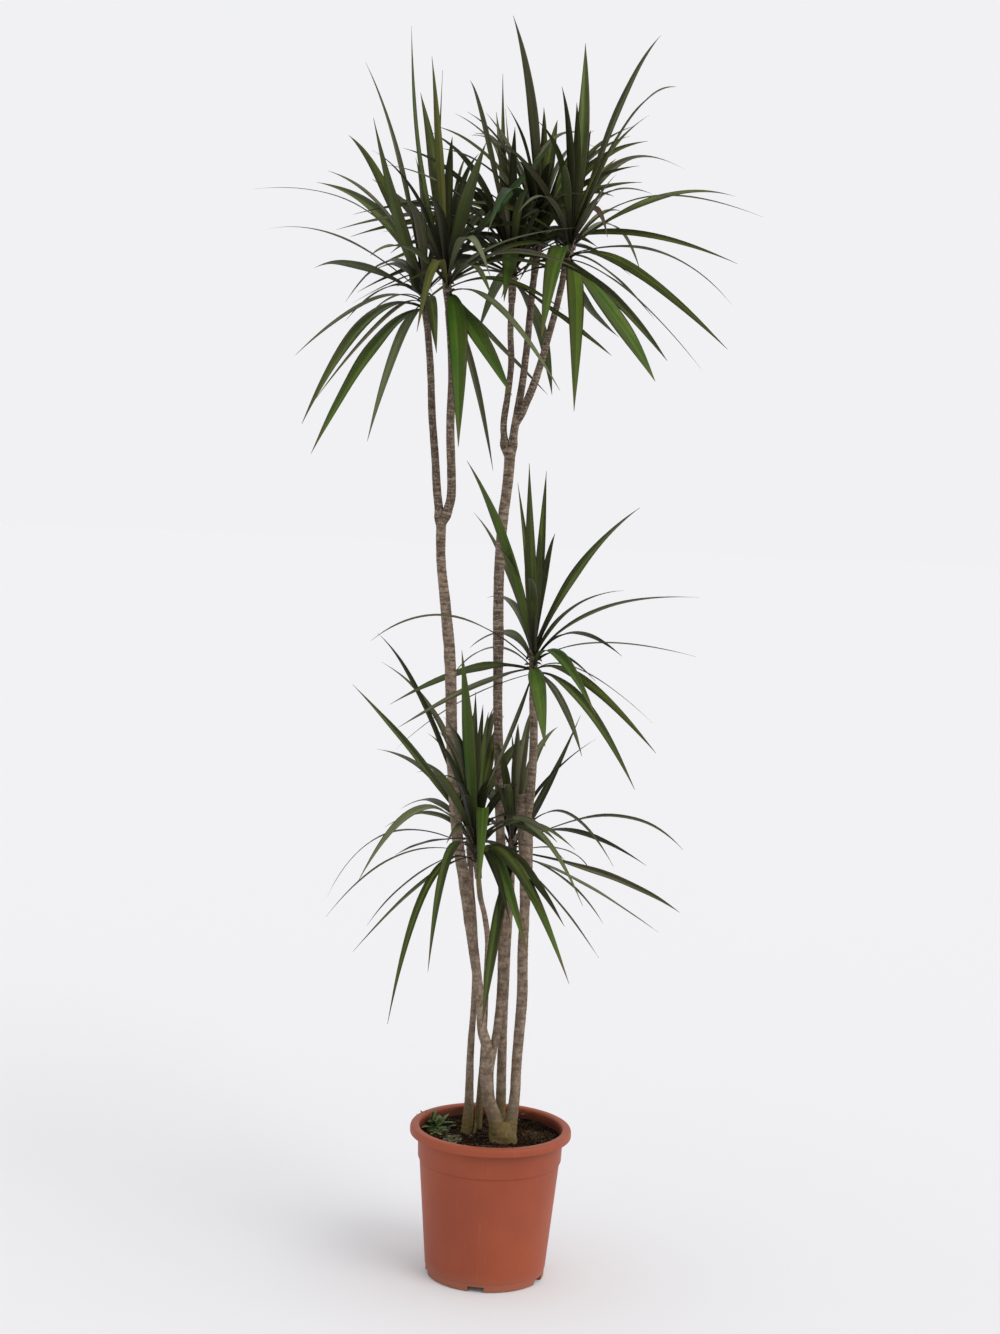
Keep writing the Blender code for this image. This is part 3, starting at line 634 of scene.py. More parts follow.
@dataclass(frozen=True)
class SoilFinish:
    """Damp potting soil or its crumbs."""

    name: str
    dark: Colour
    light: Colour
    roughness: float = 0.95

    def paint(self) -> Paint:
        """Mix the soil's dark and light grains.

        Returns:
            The material.
        """
        mix = Palette(self.name)
        clump = mix.cloud(mix.place(), 160, 4, 0.65)
        grain = mix.cloud(mix.place(), 1300, 3, 0.6)
        light = (clump * 0.6 + grain * 0.4).ramp(0.42, 0.72)
        colour = mix.layers(self.dark, (light, self.light))
        return mix.finish(colour, self.roughness, grain, 1.2 * MM, 0.04)


@dataclass(frozen=True)
class PlainFinish:
    """A small growth or scrap on the soil, in one colour with soft patches."""

    name: str
    dark: Colour
    light: Colour
    roughness: float = 0.7

    def paint(self) -> Paint:
        """Mix the two colours in small patches.

        Returns:
            The material.
        """
        mix = Palette(self.name)
        patch = mix.cloud(mix.place(), 380, 3)
        colour = mix.layers(self.dark, (patch.ramp(0.35, 0.65), self.light))
        return mix.finish(colour, self.roughness, patch, 0.5 * MM)


@dataclass(frozen=True)
class PotFinish:
    """Moulded terracotta-coloured plastic with a satin skin, faint scuffs and dust at its foot."""

    name: str = "pot_plastic"
    body: Colour = (0.315, 0.070, 0.030)
    shade: Colour = (0.280, 0.060, 0.027)
    scuff: Colour = (0.420, 0.160, 0.100)
    dust: Colour = (0.300, 0.170, 0.120)
    # Soil stain and painted shade on the inner wall above the soil.
    stain_and_shade: Colour = (0.060, 0.018, 0.010)
    inside: float = 107 * MM
    stain_and_shade_above: float = 195 * MM

    def paint(self) -> Paint:
        """Mix the plastic; its inner wall above the soil darkens with soil stain and painted shade.

        Returns:
            The material.
        """
        mix = Palette(self.name)
        place = mix.place()
        soft = mix.cloud(place, 9, 3, 0.5)
        fleck = mix.cloud(place, 420, 3, 0.6)
        scratch = mix.cloud(mix.place((1, 1, 0.06)), 260, 3, 0.6)
        pebble = mix.cloud(place, 1600, 2)
        height = mix.part(place, "Z")
        flat = mix.place((1, 1, 0))
        away = mix.node("ShaderNodeVectorMath", {0: flat}, "Value", operation="LENGTH")
        inner = away.ramp(self.inside, self.inside - 0.5 * MM)
        inner = inner * height.ramp(self.stain_and_shade_above, self.stain_and_shade_above + 4 * MM)
        # Inner wall: soil stain and painted shade, stronger towards the soil.
        stain_and_shade_share = (soft + (fleck - 0.5) * 0.5 - (height - 0.2) * 18.0).ramp(0.0, 0.35)
        colour = mix.layers(
            self.shade,
            (soft.ramp(0.35, 0.65), self.body),
            (scratch.ramp(0.62, 0.75) * 0.22, self.scuff),
            (fleck.ramp(0.66, 0.78) * 0.2, self.dust),
            ((height + (soft - 0.5) * 0.02).ramp(0.03, 0.0) * 0.35, self.dust),
            (inner * stain_and_shade_share * 0.9, self.stain_and_shade),
        )
        roughness = 0.44 + soft * 0.1 + scratch.ramp(0.6, 0.75) * 0.12
        return mix.finish(colour, roughness, pebble * 0.6 + fleck * 0.4, 0.10 * MM, 0.24)


@dataclass(frozen=True)
class Heading:
    """A leaf's course: the way it points, how far it reaches and rises, its bend and width."""

    bearing: float
    reach: float
    rise: float
    bend: float
    lift: float
    width: float
    twist: float
    tone: Tone


LIMBS: dict[str, list[tuple[float, float, float, float]]] = {
    "stump": [
        (1.9, -1.1, 19.8, 42), (1.9, -1.1, 21, 41), (1.8, -1.2, 22.2, 37), (1.8, -1.2, 23.6, 27),
    ],
    "left_trunk": [
        (1.3, -1.3, 22, 21), (0.4, -1.5, 24.4, 20), (-0.4, -1.5, 26.6, 19), (-0.8, -1.5, 29, 20),
        (-0.9, -1.4, 31.4, 21), (-0.6, -1.2, 34.4, 21),
    ],
    "tall_cane_left": [
        (-0.7, -1.4, 32.6, 15), (-1.3, -1.5, 35.4, 16), (-1.9, -1.5, 37.4, 15), (-2.4, -1, 41.6, 14),
        (-3.4, -0.5, 47.4, 14.5), (-4.4, 0, 53.3, 18), (-5.5, 0, 59.2, 17.5), (-6.7, 0, 65.1, 16.5),
        (-7.6, 0, 72.5, 16.5), (-8.2, 0, 79.9, 16.5), (-8.6, 0, 87, 16.5), (-9.1, 0, 93.1, 16.5),
        (-10, -1, 100.4, 15), (-10.8, -2, 106.3, 13.5), (-11, -2, 112.2, 14),
    ],
    "tall_cane_middle": [
        (-0.4, -1, 33, 11), (0.1, -0.2, 35.4, 12), (0.5, 1, 38.2, 13.5), (0.8, 1.8, 42.6, 15.5),
        (0.7, 2, 49, 15.5), (0.5, 2, 55, 14.5), (-0.1, 2, 62, 14), (-0.8, 2, 70, 13.5),
        (-1.2, 2, 77.5, 13.5), (-1.7, 2, 85.5, 13.5), (-2, 2, 94.7, 15.5), (-2.3, 1, 102.5, 15),
        (-2.2, 0, 111, 15), (-1.6, 0, 118.5, 15.5), (-1.5, 0, 123, 15.5),
    ],
    "right_cane": [
        (2.5, -1.3, 21.9, 19), (3.1, -1.1, 24.6, 17), (3.4, -0.5, 27.8, 15.5), (3.4, 0, 31, 15),
        (3.6, 0, 36.5, 15.5), (3.8, 0, 42, 16), (3.6, 0, 48.5, 15.5), (3.6, 0, 55.1, 15),
        (3.5, 0, 60.6, 19), (3.3, 0, 65.3, 21.5), (2.9, 0, 69.3, 23), (2.6, 0, 72.3, 15.5),
    ],
    "slender_cane_left": [
        (-3.6, 2, 19.8, 13.5), (-3.4, 2.2, 25.2, 12), (-3.5, 2.7, 32.5, 10.5), (-3.3, 3.4, 40.4, 9),
        (-3.4, 3.5, 46.5, 8.5), (-3.8, 3.5, 52.6, 8), (-4.4, 3.3, 57.6, 7.5),
    ],
    "slender_cane_back": [
        (-1.9, 5, 19.8, 9.5), (-1.8, 4.3, 26.1, 9), (-1.6, 2.6, 33.3, 8.5), (-1.6, 1.5, 39.9, 8.5),
        (-1.6, 0.3, 45.2, 8.5), (-1.6, -1.6, 50.3, 8.5), (-2.2, -3.2, 54.4, 8), (-3, -4.1, 57.6, 8),
    ],
    "back_cane": [
        (1.5, 7, 19.8, 14), (1.3, 6.5, 28.9, 14), (1.2, 6, 37, 13.5), (1.2, 5.5, 46.3, 13),
        (1.3, 5.5, 52.5, 12.5), (1.4, 5.5, 57, 12),
    ],
    "bough_left_outer": [
        (-11.1, -2, 111, 11), (-11.4, -1.8, 113.6, 12), (-11.8, -1.5, 116.3, 11.8),
        (-12.4, -0.7, 122, 11), (-13, 0.2, 127, 11), (-13.4, 1.2, 132, 10.5), (-13.8, 2, 136, 10),
    ],
    "bough_left_inner": [
        (-10.9, -2.1, 111.2, 10), (-10.2, -2.2, 113.2, 12), (-9.7, -2.3, 115.6, 13),
        (-9.8, -2.6, 119, 12.5), (-10.2, -3.3, 125.5, 12), (-10.2, -3.5, 132.1, 12),
        (-10.6, -3.5, 138, 12),
    ],
    "bough_middle_front": [
        (-1.9, 0, 121.6, 9), (-2.4, 0.1, 123.9, 9.5), (-2.6, 0.4, 126.6, 9.5), (-2.2, 0.9, 130.4, 9),
        (-1.9, 1.3, 135, 9), (-2.2, 1.7, 139.6, 9),
    ],
    "bough_middle_back": [
        (-1.2, 0, 121.6, 10), (-1.1, 0, 124.6, 11.5), (-0.7, 0.3, 128, 11), (-0.2, 1.5, 131.8, 10.5),
        (0.2, 3.2, 136.5, 10), (0.5, 5.2, 141.5, 10), (0.7, 6.6, 145.5, 10),
    ],
    "bough_right": [
        (-0.9, 0.1, 126, 9), (0.2, -0.4, 128.6, 10.5), (1.4, -0.9, 131.8, 11.5), (2.4, -1.2, 135.3, 10.5),
        (3.2, -1.5, 138.6, 9.5), (4.2, -1.7, 143, 9.5),
    ],
    "bough_low_right": [
        (2.9, -0.1, 67.6, 11), (3.6, -0.8, 71.2, 12), (3.7, -1.5, 74.7, 13), (3.8, -2, 78.6, 12),
        (3.7, -2.4, 82.4, 12), (3.5, -2.7, 85.6, 12),
    ],
}

# Limbs that are young enough for their rings to be close and dark.
YOUNG = {
    "bough_left_outer": 0.9, "bough_left_inner": 0.8, "bough_middle_front": 0.9,
    "bough_middle_back": 0.9, "bough_right": 0.8, "bough_low_right": 0.3,
    "slender_cane_left": 0.15, "slender_cane_back": 0.15,
}

# Leaves that press against those of the next rosette, where the crown is thickest.
PRESSED: dict[str, list[tuple]] = {
    "leaves_right": [
        (185, 17, 1, 40, 6, 14, DUSKY, -35), (110, 20, 2, 40, 7, 20, DUSKY, -15),
        (240, 14, 3, 35, 7, 18, DUSKY, -20),
    ],
    "leaves_middle_front": [
        (250, 26, 10, 25, 12, 10, DUSKY, 0), (335, 13, 4, 40, 8, 20, DUSKY, 45),
        (180, 19, 3, 40, 6, 18, DUSKY, -35), (205, 18, -3, 40, 4, 15, DEEP, -30),
        (350, 15, -2, 40, 4, 12, DUSKY, 35), (280, 12, 8, 35, 9, 20, DUSKY, 5),
        (70, 16, 8, 40, 9, 20, DUSKY, 10), (55, 12, 7, 40, 7, 20, DEEP, 25),
    ],
    "leaves_middle_back": [
        (257, 31, -1, 55, 14, 20, BLUISH, 0), (193, 13, 9, 40, 7, 9, DUSKY, -20),
        (350, 11, 8, 40, 9, 19, DEEP, 40), (190, 11, 4, 40, 7, 20, DUSKY, -45),
        (100, 22, 3, 40, 8, 22, DUSKY, -10), (80, 20, 2, 40, 7, 22, DUSKY, 10),
        (110, 18, 6, 40, 8, 20, DEEP, -15), (265, 14, 4, 30, 9, 20, DUSKY, 5),
    ],
    "leaves_low_left_front": [
        (280, 9, 12, 35, 9, 16, DUSKY, 5), (250, 12, 3, 40, 7, 14, OLIVE, -10),
        (300, 14, 6, 35, 8, 14, DUSKY, 15), (60, 12, 9, 40, 8, 14, DUSKY, 10),
    ],
    "leaves_low_back": [
        (255, 14, 12, 35, 9, 14, DEEP, 0), (285, 12, 6, 35, 8, 14, DUSKY, 10),
        (235, 13, 8, 35, 9, 13, DUSKY, -15),
    ],
}

# Each rosette: the limb that bears it, the place of its heart in centimetres, how many leaves it
# has, how far its further leaves spread from the depth in degrees, and the leaves that stand out.
# A leaf has its bearing in degrees, its reach and rise in centimetres, its bend as a percentage of
# the reach and that bend's height in centimetres, its width in millimetres, its tone, and at times
# the turn in degrees that its blade takes about its line.
ROSETTES: dict[str, tuple[str, Place, int, float, list[tuple]]] = {
    "leaves_left_outer": ("bough_left_outer", (-14.8, 3, 143.7), 23, 35, [
        (212, 28, 13, 25, 16, 8, OLIVE, -15), (128, 30, 19, 25, 14, 20, MIDDLE, -35),
        (144, 31, 11, 55, 12, 7, OLIVE, -15), (123, 25, 26, 65, 20, 16, DEEP, -20),
        (258, 31, 21, 55, 4, 18, MIDDLE, 10), (139, 14, 35, 35, 21, 11, OLIVE, 0),
        (125, 33, 6, 65, 8, 18, DEEP, -35), (117, 30, 1, 25, 12, 14, OLIVE, -25),
        (239, 31, -10, 35, 4, 10, OLIVE, -15), (234, 26, -19, 45, 4, 20, MIDDLE, -15),
        (245, 31, -16, 25, 4, 8, OLIVE, -10), (241, 28, -23, 35, 0, 25, BRIGHT, 0),
        (256, 25, -21, 45, 1, 15, PALE, 0), (257, 16, 13, 25, -4, 14, DUSKY, 0),
        (255, 25, -4, 45, 2, 7, OLIVE, 0), (348, 11, 6, 40, 6, 15, DUSKY, 20),
    ]),
    "leaves_left_inner": ("bough_left_inner", (-11.5, -3.5, 145.4), 30, 40, [
        (139, 9, 37, 65, 12, 18, MIDDLE, 15), (263, 21, 28, 35, 17, 12, AGEING, 20),
        (101, 12, 32, 65, -2, 8, OLIVE, 0), (116, 30, 18, 25, 10, 16, DEEP, -25),
        (106, 21, 30, 50, 17, 21, DEEP, 10), (253, 31, 1, 65, 6, 18, MIDDLE, 0),
        (277, 26, -23, 35, 1, 28, BRIGHT, 0), (262, 22, -8, 35, 10, 16, AGEING, 0),
        (290, 29, -16, 25, -4, 26, BRIGHT, 10), (60, 31, -14, 25, -4, 16, DEEP, 10),
        (70, 22, -26, 55, -6, 11, OLIVE, 0), (282, 31, -1, 25, 12, 15, PALE, 10),
        (304, 29, -15, 35, 3, 12, PALE, 15), (303, 32, 6, 35, 6, 14, PALE, 15),
        (280, 30, 16, 25, 10, 20, MIDDLE, 0), (81, 12, 20, 35, 15, 6, OLIVE),
        (12, 15, 21.4, 50, 10.5, 17, BLUISH, 45), (5, 20, 3, 40, 7, 17, DUSKY, 30),
        (345, 17, -3, 40, 4, 13, DEEP, 35), (20, 22, 7, 40, 9, 15, DUSKY, 25),
        (325, 21, 1, 40, 6, 14, DEEP, 25),
    ]),
    "leaves_right": ("bough_right", (5.7, -2, 151), 36, 25, [
        (85, 15, 32, 40, 18, 19, MIDDLE, 0), (265, 30, 18, 30, 14, 11, DUSKY, 0),
        (44, 17, 33, 55, 24, 12, OLIVE, 15), (294, 30, 19, 55, 20, 16, MIDDLE, 45),
        (50, 27, 15, 25, 18, 14, OLIVE, 22), (288, 31, 5, 25, 10, 12, OLIVE, 20),
        (36, 31, 11, 55, 12, 15, DEEP, 28), (325, 31, 4, 25, 12, 9, OLIVE, 20),
        (68, 32, 0, 65, 12, 13, PALE, 20), (39, 33, -5, 55, 6, 12, DEEP, 28),
        (315, 30, -14, 25, 4, 16, DEEP, 45), (44, 30, -15, 35, 0, 11, OLIVE, 30),
        (64, 33, -7, 35, 2, 16, DEEP, 30), (293, 29, -19, 50, -7, 29, BRIGHT, 5),
        (299, 27, -16, 45, -5, 15, DEEP, 20), (73, 31, -10, 25, -6, 18, DEEP, 10),
        (273, 24, -23, 60, 2, 24, BRIGHT, 0), (261, 24, -14, 25, 6, 26, BRIGHT, 0),
        (244, 31, 12, 45, 12, 16, OLIVE, -20), (255, 29, 2, 45, 10, 11, OLIVE, -10),
        (83, 16, 25, 65, 4, 7, OLIVE), (70, 17, 12, 55, 8, 7, OLIVE), (73, 17, 10, 35, 4, 7, DUSKY),
        (67, 22, 8, 45, 8, 7, OLIVE), (292, 13, 1, 55, 10, 11, WITHERED), (282, 25, 8, 55, 6, 7, OLIVE),
        (300, 19, 17, 30, 12, 15, AGEING, 20), (170, 20, 6, 40, 8, 15, DEEP, -30),
        (208, 16, -4, 40, 4, 13, DEEP, -30), (62, 14, 15, 30, 9, 14, AGEING, 20),
    ]),
    "leaves_middle_front": ("bough_middle_front", (-2.2, 2, 147.7), 38, 80, [
        (101, 15, 31, 65, -2, 17, DEEP, 0), (258, 31, 21, 65, 20, 8, OLIVE, 0),
        (107, 25, 23, 25, 22, 14, OLIVE, -10), (30, 12, 21, 15, 22, 12, OLIVE, 30),
        (295, 33, -12, 55, -6, 13, DEEP, 10), (77, 31, -16, 55, -2, 19, DEEP, 0),
        (98, 16, 26, 40, 10, 6, OLIVE), (267, 20, -5, 25, 9, 26, BRIGHT, 0),
        (76, 21, 21, 30, 9, 8, DUSKY), (120, 7, 24, 50, 11, 18, OLIVE, 0),
        (15, 12, 10, 35, 10, 20, DEEP, 45), (165, 10, 12, 35, 11, 20, DUSKY, -45),
        (158, 21, 6, 40, 8, 15, DEEP, -35), (215, 22, 8, 40, 9, 14, DUSKY, -20),
    ]),
    "leaves_middle_back": ("bough_middle_back", (1.2, 8, 152), 36, 80, [
        (255, 19, 30.7, 35, 20, 15, OLIVE, 15), (72, 28, 19, 25, 18, 9, OLIVE),
        (93, 14, 17, 40, 9, 12, DUSKY), (160, 9, 20, 35, 12, 14, OLIVE, -20),
        (274, 24, 11, 25, 4, 7, DUSKY), (278, 20, 11, 25, 4, 7, DUSKY), (86, 16, 15, 25, 3, 7, DUSKY),
        (201, 11, 15.6, 20, 14.5, 16, OLIVE, -30), (178, 20, -2, 40, 5, 15, DUSKY, -35),
        (200, 19, -5, 40, 3, 15, DEEP, -30), (170, 22, 6, 40, 9, 15, DEEP, -30),
        (5, 14, -3, 40, 4, 12, DUSKY, 30),
    ]),
    "leaves_low_right": ("bough_low_right", (3.2, -3, 91.7), 29, 24, [
        (243, 23, 29, 45, 18, 18, BRIGHT, 0), (110, 29, 21, 25, 14, 10, OLIVE, 0),
        (97, 27, 26, 55, 12, 11, DEEP, 0), (265, 24, 29, 55, 12, 17, DEEP, 0),
        (87, 18, 28, 40, 15, 13, DEEP, 0), (57, 29, 23, 25, 14, 15, MIDDLE, 15),
        (290, 32, 13, 25, 10, 13, MIDDLE, 15), (31, 29, 10, 25, 10, 10, OLIVE, 20),
        (316, 30, 4, 25, 6, 8, OLIVE, 12), (287, 28, -4, 25, 8, 20, BRIGHT, 10),
        (47, 28, -10, 25, 4, 7, OLIVE, 20), (305, 29, -9, 25, 4, 14, DEEP, 35),
        (300, 28, -14, 45, 2, 15, MIDDLE, 20), (282, 31, -9, 65, 0, 11, OLIVE, 10),
        (273, 30, -8, 30, 2, 24, BRIGHT, 0), (219, 29, 4, 55, 12, 9, OLIVE, -15),
        (135, 30, -8, 35, 2, 20, MIDDLE, -40), (233, 30, -7, 35, 0, 12, OLIVE, -20),
        (138, 27, -15, 55, -4, 7, OLIVE, -15), (116, 30, -6, 45, 6, 8, PALE, -20),
        (258, 28, -14, 45, -6, 7, OLIVE, 0), (292, 22, 0, 25, 5, 7, DUSKY, 10),
    ]),
    "leaves_low_left_back": ("slender_cane_left", (-4.9, 3, 64.7), 21, 30, [
        (136, 22, 29, 45, 22, 12, DUSKY, 0), (126, 26, 24, 25, 18, 11, OLIVE, -10),
        (130, 31, 20, 45, 10, 16, MIDDLE, -10), (118, 34, 9, 35, 10, 12, OLIVE, -20),
        (238, 28, 15, 35, 6, 14, OLIVE, -20), (151, 25, -12, 65, 6, 7, OLIVE, -15),
        (128, 26, -18, 65, -6, 6, OLIVE, 0), (91, 21, 20, 40, 11, 12, DUSKY, 0),
        (258, 43.9, 5, 55, 4, 9, DUSKY, 0), (89, 20, 14, 40, 8, 12, DUSKY, 0),
    ]),
    "leaves_low_left_front": ("slender_cane_back", (-3.9, -4.5, 64.3), 25, 30, [
        (256, 31, 17, 65, 14, 16, DEEP, 0), (233, 26, -1, 45, 16, 15, PALE, -20),
        (227, 29, -6, 55, 6, 6, OLIVE, 0), (237, 29, -10, 35, 2, 7, OLIVE, -10),
        (243, 24, -20.5, 65, 8, 12, DEEP, -10), (255, 22, -13, 65, 12, 14, MIDDLE, 0),
        (262, 21, 31, 45, 18, 18, BRIGHT, 0), (272, 20, -3, 25, 17, 20, BRIGHT, 0),
        (286, 28, -9, 25, 8, 22, BRIGHT, 0), (303, 25, -14, 25, 8, 21, BRIGHT, 0),
        (305, 26, -3, 45, 14, 11, PALE, 20),
    ]),
    "leaves_low_back": ("back_cane", (1.4, 5.5, 63.3), 21, 24, [
        (71, 32, 17, 35, 0, 15, DUSKY, 0), (290, 32, 19, 25, 10, 10, DUSKY, 10),
        (92, 21, 15, 40, 8, 9, DUSKY, 0), (323, 30, 4, 65, 12, 9, OLIVE, 25),
        (300, 28, 2, 45, 14, 8, OLIVE, 15), (64, 30, -8, 65, 0, 7, OLIVE, 10),
        (323, 30, -5, 65, 0, 12, OLIVE, 35), (32, 28, -15, 35, -2, 11, OLIVE, 30),
        (296, 30, -7, 65, 0, 6, OLIVE, 0), (55, 26, -21, 45, -6, 8, OLIVE, 10),
        (263, 27, -17, 65, -4, 16, MIDDLE, 0),
    ]),
}


@dataclass
class Line:
    """A smooth line through the places of a limb, with its radius."""

    knots: Shape
    radii: Shape

    @classmethod
    def of_limb(cls, name: str, below_heart: float = 35 * MM, end_share: float = 0.95) -> "Line":
        """The line of a limb, run on to just below the rosette that it bears.

        Args:
            name: The limb's name.
            below_heart: How far below the heart a bearing limb ends.
            end_share: Radius at that end, as a share of the last listed one.

        Returns:
            The line, still with its few knots.
        """
        listed = np.array(LIMBS[name], float)
        knots = listed[:, :3] * CM
        radii = listed[:, 3] * MM / 2
        for bearer, heart, *_ in ROSETTES.values():
            if bearer == name:
                centre = np.array(heart) * CM
                knots = np.vstack([knots, centre - unit(centre - knots[-1]) * below_heart])
                radii = np.append(radii, radii[-1] * end_share)
        return cls(knots, radii)

    def along(self, step: float, fine: int = 24) -> tuple[Shape, Shape, Shape]:
        """Even places along the line.

        Between two knots the line is the cubic that passes both and leaves each along the chord
        of its neighbours; the result is measured and read off again at even steps.

        Args:
            step: Distance between places.
            fine: How many parts each span is cut in while the line is measured.

        Returns:
            The places, the radii there, and the distance from the start.
        """
        joined = np.column_stack([self.knots, self.radii])
        held = np.vstack([joined[:1], joined, joined[-1:]])
        t = np.linspace(0, 1, fine, endpoint=False)[:, None]
        weights = (
            (-t + 2 * t ** 2 - t ** 3) / 2,
            (2 - 5 * t ** 2 + 3 * t ** 3) / 2,
            (t + 4 * t ** 2 - 3 * t ** 3) / 2,
            (t ** 3 - t ** 2) / 2,
        )
        count = len(joined) - 1
        spans = sum(weight * held[at:at + count, None] for at, weight in enumerate(weights))
        path = np.vstack([spans.reshape(-1, 4), joined[-1:]])
        gaps = np.linalg.norm(np.diff(path[:, :3], axis=0), axis=1)
        run = np.append(0.0, np.cumsum(gaps))
        read = np.linspace(0, run[-1], max(3, int(run[-1] / step) + 1))
        columns = [np.interp(read, run, column) for column in path.T]
        return np.column_stack(columns[:3]), columns[3], read


def turning_frames(places: Shape) -> tuple[Shape, Shape]:
    """Two directions across a line at each of its places, without needless turning.

    The first is one fixed direction less its share along the line; the second is at a right
    angle to both, so that the three are right-handed.

    Args:
        places: Places along the line, which mostly climbs.

    Returns:
        The two directions.
    """
    ahead = unit(np.gradient(places, axis=0))
    fixed = np.array([1.0, 0.0, 0.0])
    first = unit(fixed - ahead * (ahead @ fixed)[:, None])
    return first, np.cross(ahead, first)


@dataclass
class Canes:
    """The stump, canes and boughs, with the ring scars that fallen leaves have left."""

    step: float = 1.5 * MM
    sides: int = 30
    scar_gap: float = 7.5 * MM
    young_gap: float = 4 * MM
    scar_height: float = 0.34 * MM
    scar_radius: float = 7 * MM
    scar_limits: Span = (0.1, 1.4)
    # Where a scar's ridge and dip lie between two rings, and how wide each is.
    ridge: Span = (0.5, 0.13)
    dip: Span = (0.72, 0.09)
    dip_share: float = 0.8
    leans: Span = (0.22, 0.10)
    wrinkle: float = 0.14 * MM
    lump_share: float = 0.045
    sway_lump: float = 22 * MM
    sway: float = 0.5
    scar_lump: float = 9 * MM
    scar_stretch: Place = (1.0, 1.0, 0.5)
    scar_strengths: Span = (0.65, 0.55)
    wrinkle_lump: float = 1.3 * MM
    wrinkle_stretch: Place = (1.0, 1.0, 0.15)
    broad_lump: float = 17 * MM
    knob_lumps: Span = (14 * MM, 5 * MM)
    knob_shares: Span = (0.10, 0.035)
    shoot_gap: float = 2.4 * MM
    shoot_sunk: float = 5 * MM
    shoot_tip: float = 12 * MM
    shoot_share: float = 0.92
    shoot_foot: float = 0.9
    shoot_point: float = 0.6 * MM
    low_top: float = 0.34
    soil_top: float = 0.203
    # Heights where the painted shadow of the rosette above begins on the tall middle cane, is full, and
    # ends.
    shadow_heights: Place = (0.70, 0.86, 1.12)
    shadow_fade: float = 0.1
    shadow_share: float = 0.75
    # A limb's swelling: its share of the radius, how far it fades over, and its place in such steps.
    flares: dict[str, Place] = field(default_factory=lambda: {
        "left_trunk": (0.42, 14 * MM, 0.0), "right_cane": (0.45, 15 * MM, 0.0),
        "slender_cane_left": (0.32, 70 * MM, 0.0), "slender_cane_back": (0.3, 60 * MM, 0.0),
        "back_cane": (0.15, 60 * MM, 0.0), "bough_left_outer": (0.35, 10 * MM, 1.4),
        "bough_left_inner": (0.30, 10 * MM, 1.6), "bough_middle_front": (0.55, 9 * MM, 1.7),
        "bough_middle_back": (0.30, 9 * MM, 1.8), "bough_right": (0.20, 12 * MM, 1.6),
        "bough_low_right": (0.20, 12 * MM, 1.6),
    })
    lumps: Lumps = field(default_factory=lambda: Lumps(3))

    def scars(self, surface: Shape, run: Shape, number: int, gap: float) -> Shape:
        """Height of the ring scars over a limb, as a share of the greatest.

        A scar is a narrow bell just before a narrower dip, repeated along the limb at an uneven
        distance. Its phase leans round the limb, so that each ring is a shallow crescent.

        Args:
            surface: The limb's plain surface, as ring, corner and then x, y, z.
            run: Distance of each ring from the limb's start.
            number: The limb's place in the list, which shifts its pattern.
            gap: Distance between its rings.

        Returns:
            The height for each ring and corner.
        """
        angle = around(self.sides)
        lean = self.leans[0] * np.sin(angle + number) + self.leans[1] * np.sin(3 * angle - number)
        sway = self.lumps.at(surface + number, self.sway_lump) * self.sway
        part = ((run / gap)[:, None] + lean + sway) % 1.0
        middle, play = self.scar_strengths
        drawn = surface * np.array(self.scar_stretch) + 3.1
        strength = middle + play * self.lumps.at(drawn, self.scar_lump)
        scar = bell(part, *self.ridge) - self.dip_share * bell(part, *self.dip)
        return scar * np.clip(strength, *self.scar_limits)

    def tube(self, title: str, line: Line, number: int, youth: float, gap: float) -> Thing:
        """Build one limb: a tube whose radius carries scars, lengthwise wrinkles and broad lumps.

        Args:
            title: The piece's name.
            line: The limb's line.
            number: Its place in the list, which shifts its pattern.
            youth: How young it is, from 0 to 1.
            gap: Distance between its rings.

        Returns:
            The limb's mesh object.
        """
        places, radii, run = line.along(self.step)
        out = spokes(*turning_frames(places), self.sides)
        surface = places[:, None] + out * radii[:, None, None]
        scar = self.scars(surface, run, number, gap)
        drawn = surface * np.array(self.wrinkle_stretch) + number
        lengthwise = self.lumps.at(drawn, self.wrinkle_lump)
        broad = self.lumps.at(surface + 7.7 * number, self.broad_lump)
        size = radii[:, None] * (1 + self.lump_share * broad)
        size = size + self.scar_height * scar * np.minimum(1.0, radii / self.scar_radius)[:, None]
        size = size + self.wrinkle * lengthwise
        if title == "stump_bark":
            size = size * self.knobs(surface)
        share, height, centre = self.flares.get(title.removesuffix("_bark"), (0.0, 1.0, 0.0))
        above = (places[:, 2] - places[0, 2]) / height
        size = size * (1 + share * bell(above, centre, 1.0))[:, None]
        rings = (places[:, None] + out * size[..., None])[None]
        turn = np.linspace(0, 1, self.sides + 1)
        chart = np.stack(np.broadcast_arrays(turn, run[:, None]), -1)[None]
        youth_and_shade = np.full(rings.shape[:3], youth)
        # On the tall middle cane the youth mark carries the painted shadow that the rosette above casts.
        if title == "tall_cane_middle_bark":
            youth_and_shade = self.dusky(rings[..., 2])
        low = ease(rings[..., 2], self.low_top, self.soil_top)
        return skin(title, rings, chart, {"scar": scar[None], "youth": youth_and_shade, "low": low})

    def knobs(self, surface: Shape) -> Shape:
        """How much the stump swells into knobs: broad lumps and finer ones.

        Args:
            surface: The stump's plain surface.

        Returns:
            What its radius is multiplied by.
        """
        broad = self.lumps.at(surface + 0.4, self.knob_lumps[0])
        fine = self.lumps.at(surface + 1.9, self.knob_lumps[1])
        return 1 + self.knob_shares[0] * broad + self.knob_shares[1] * fine

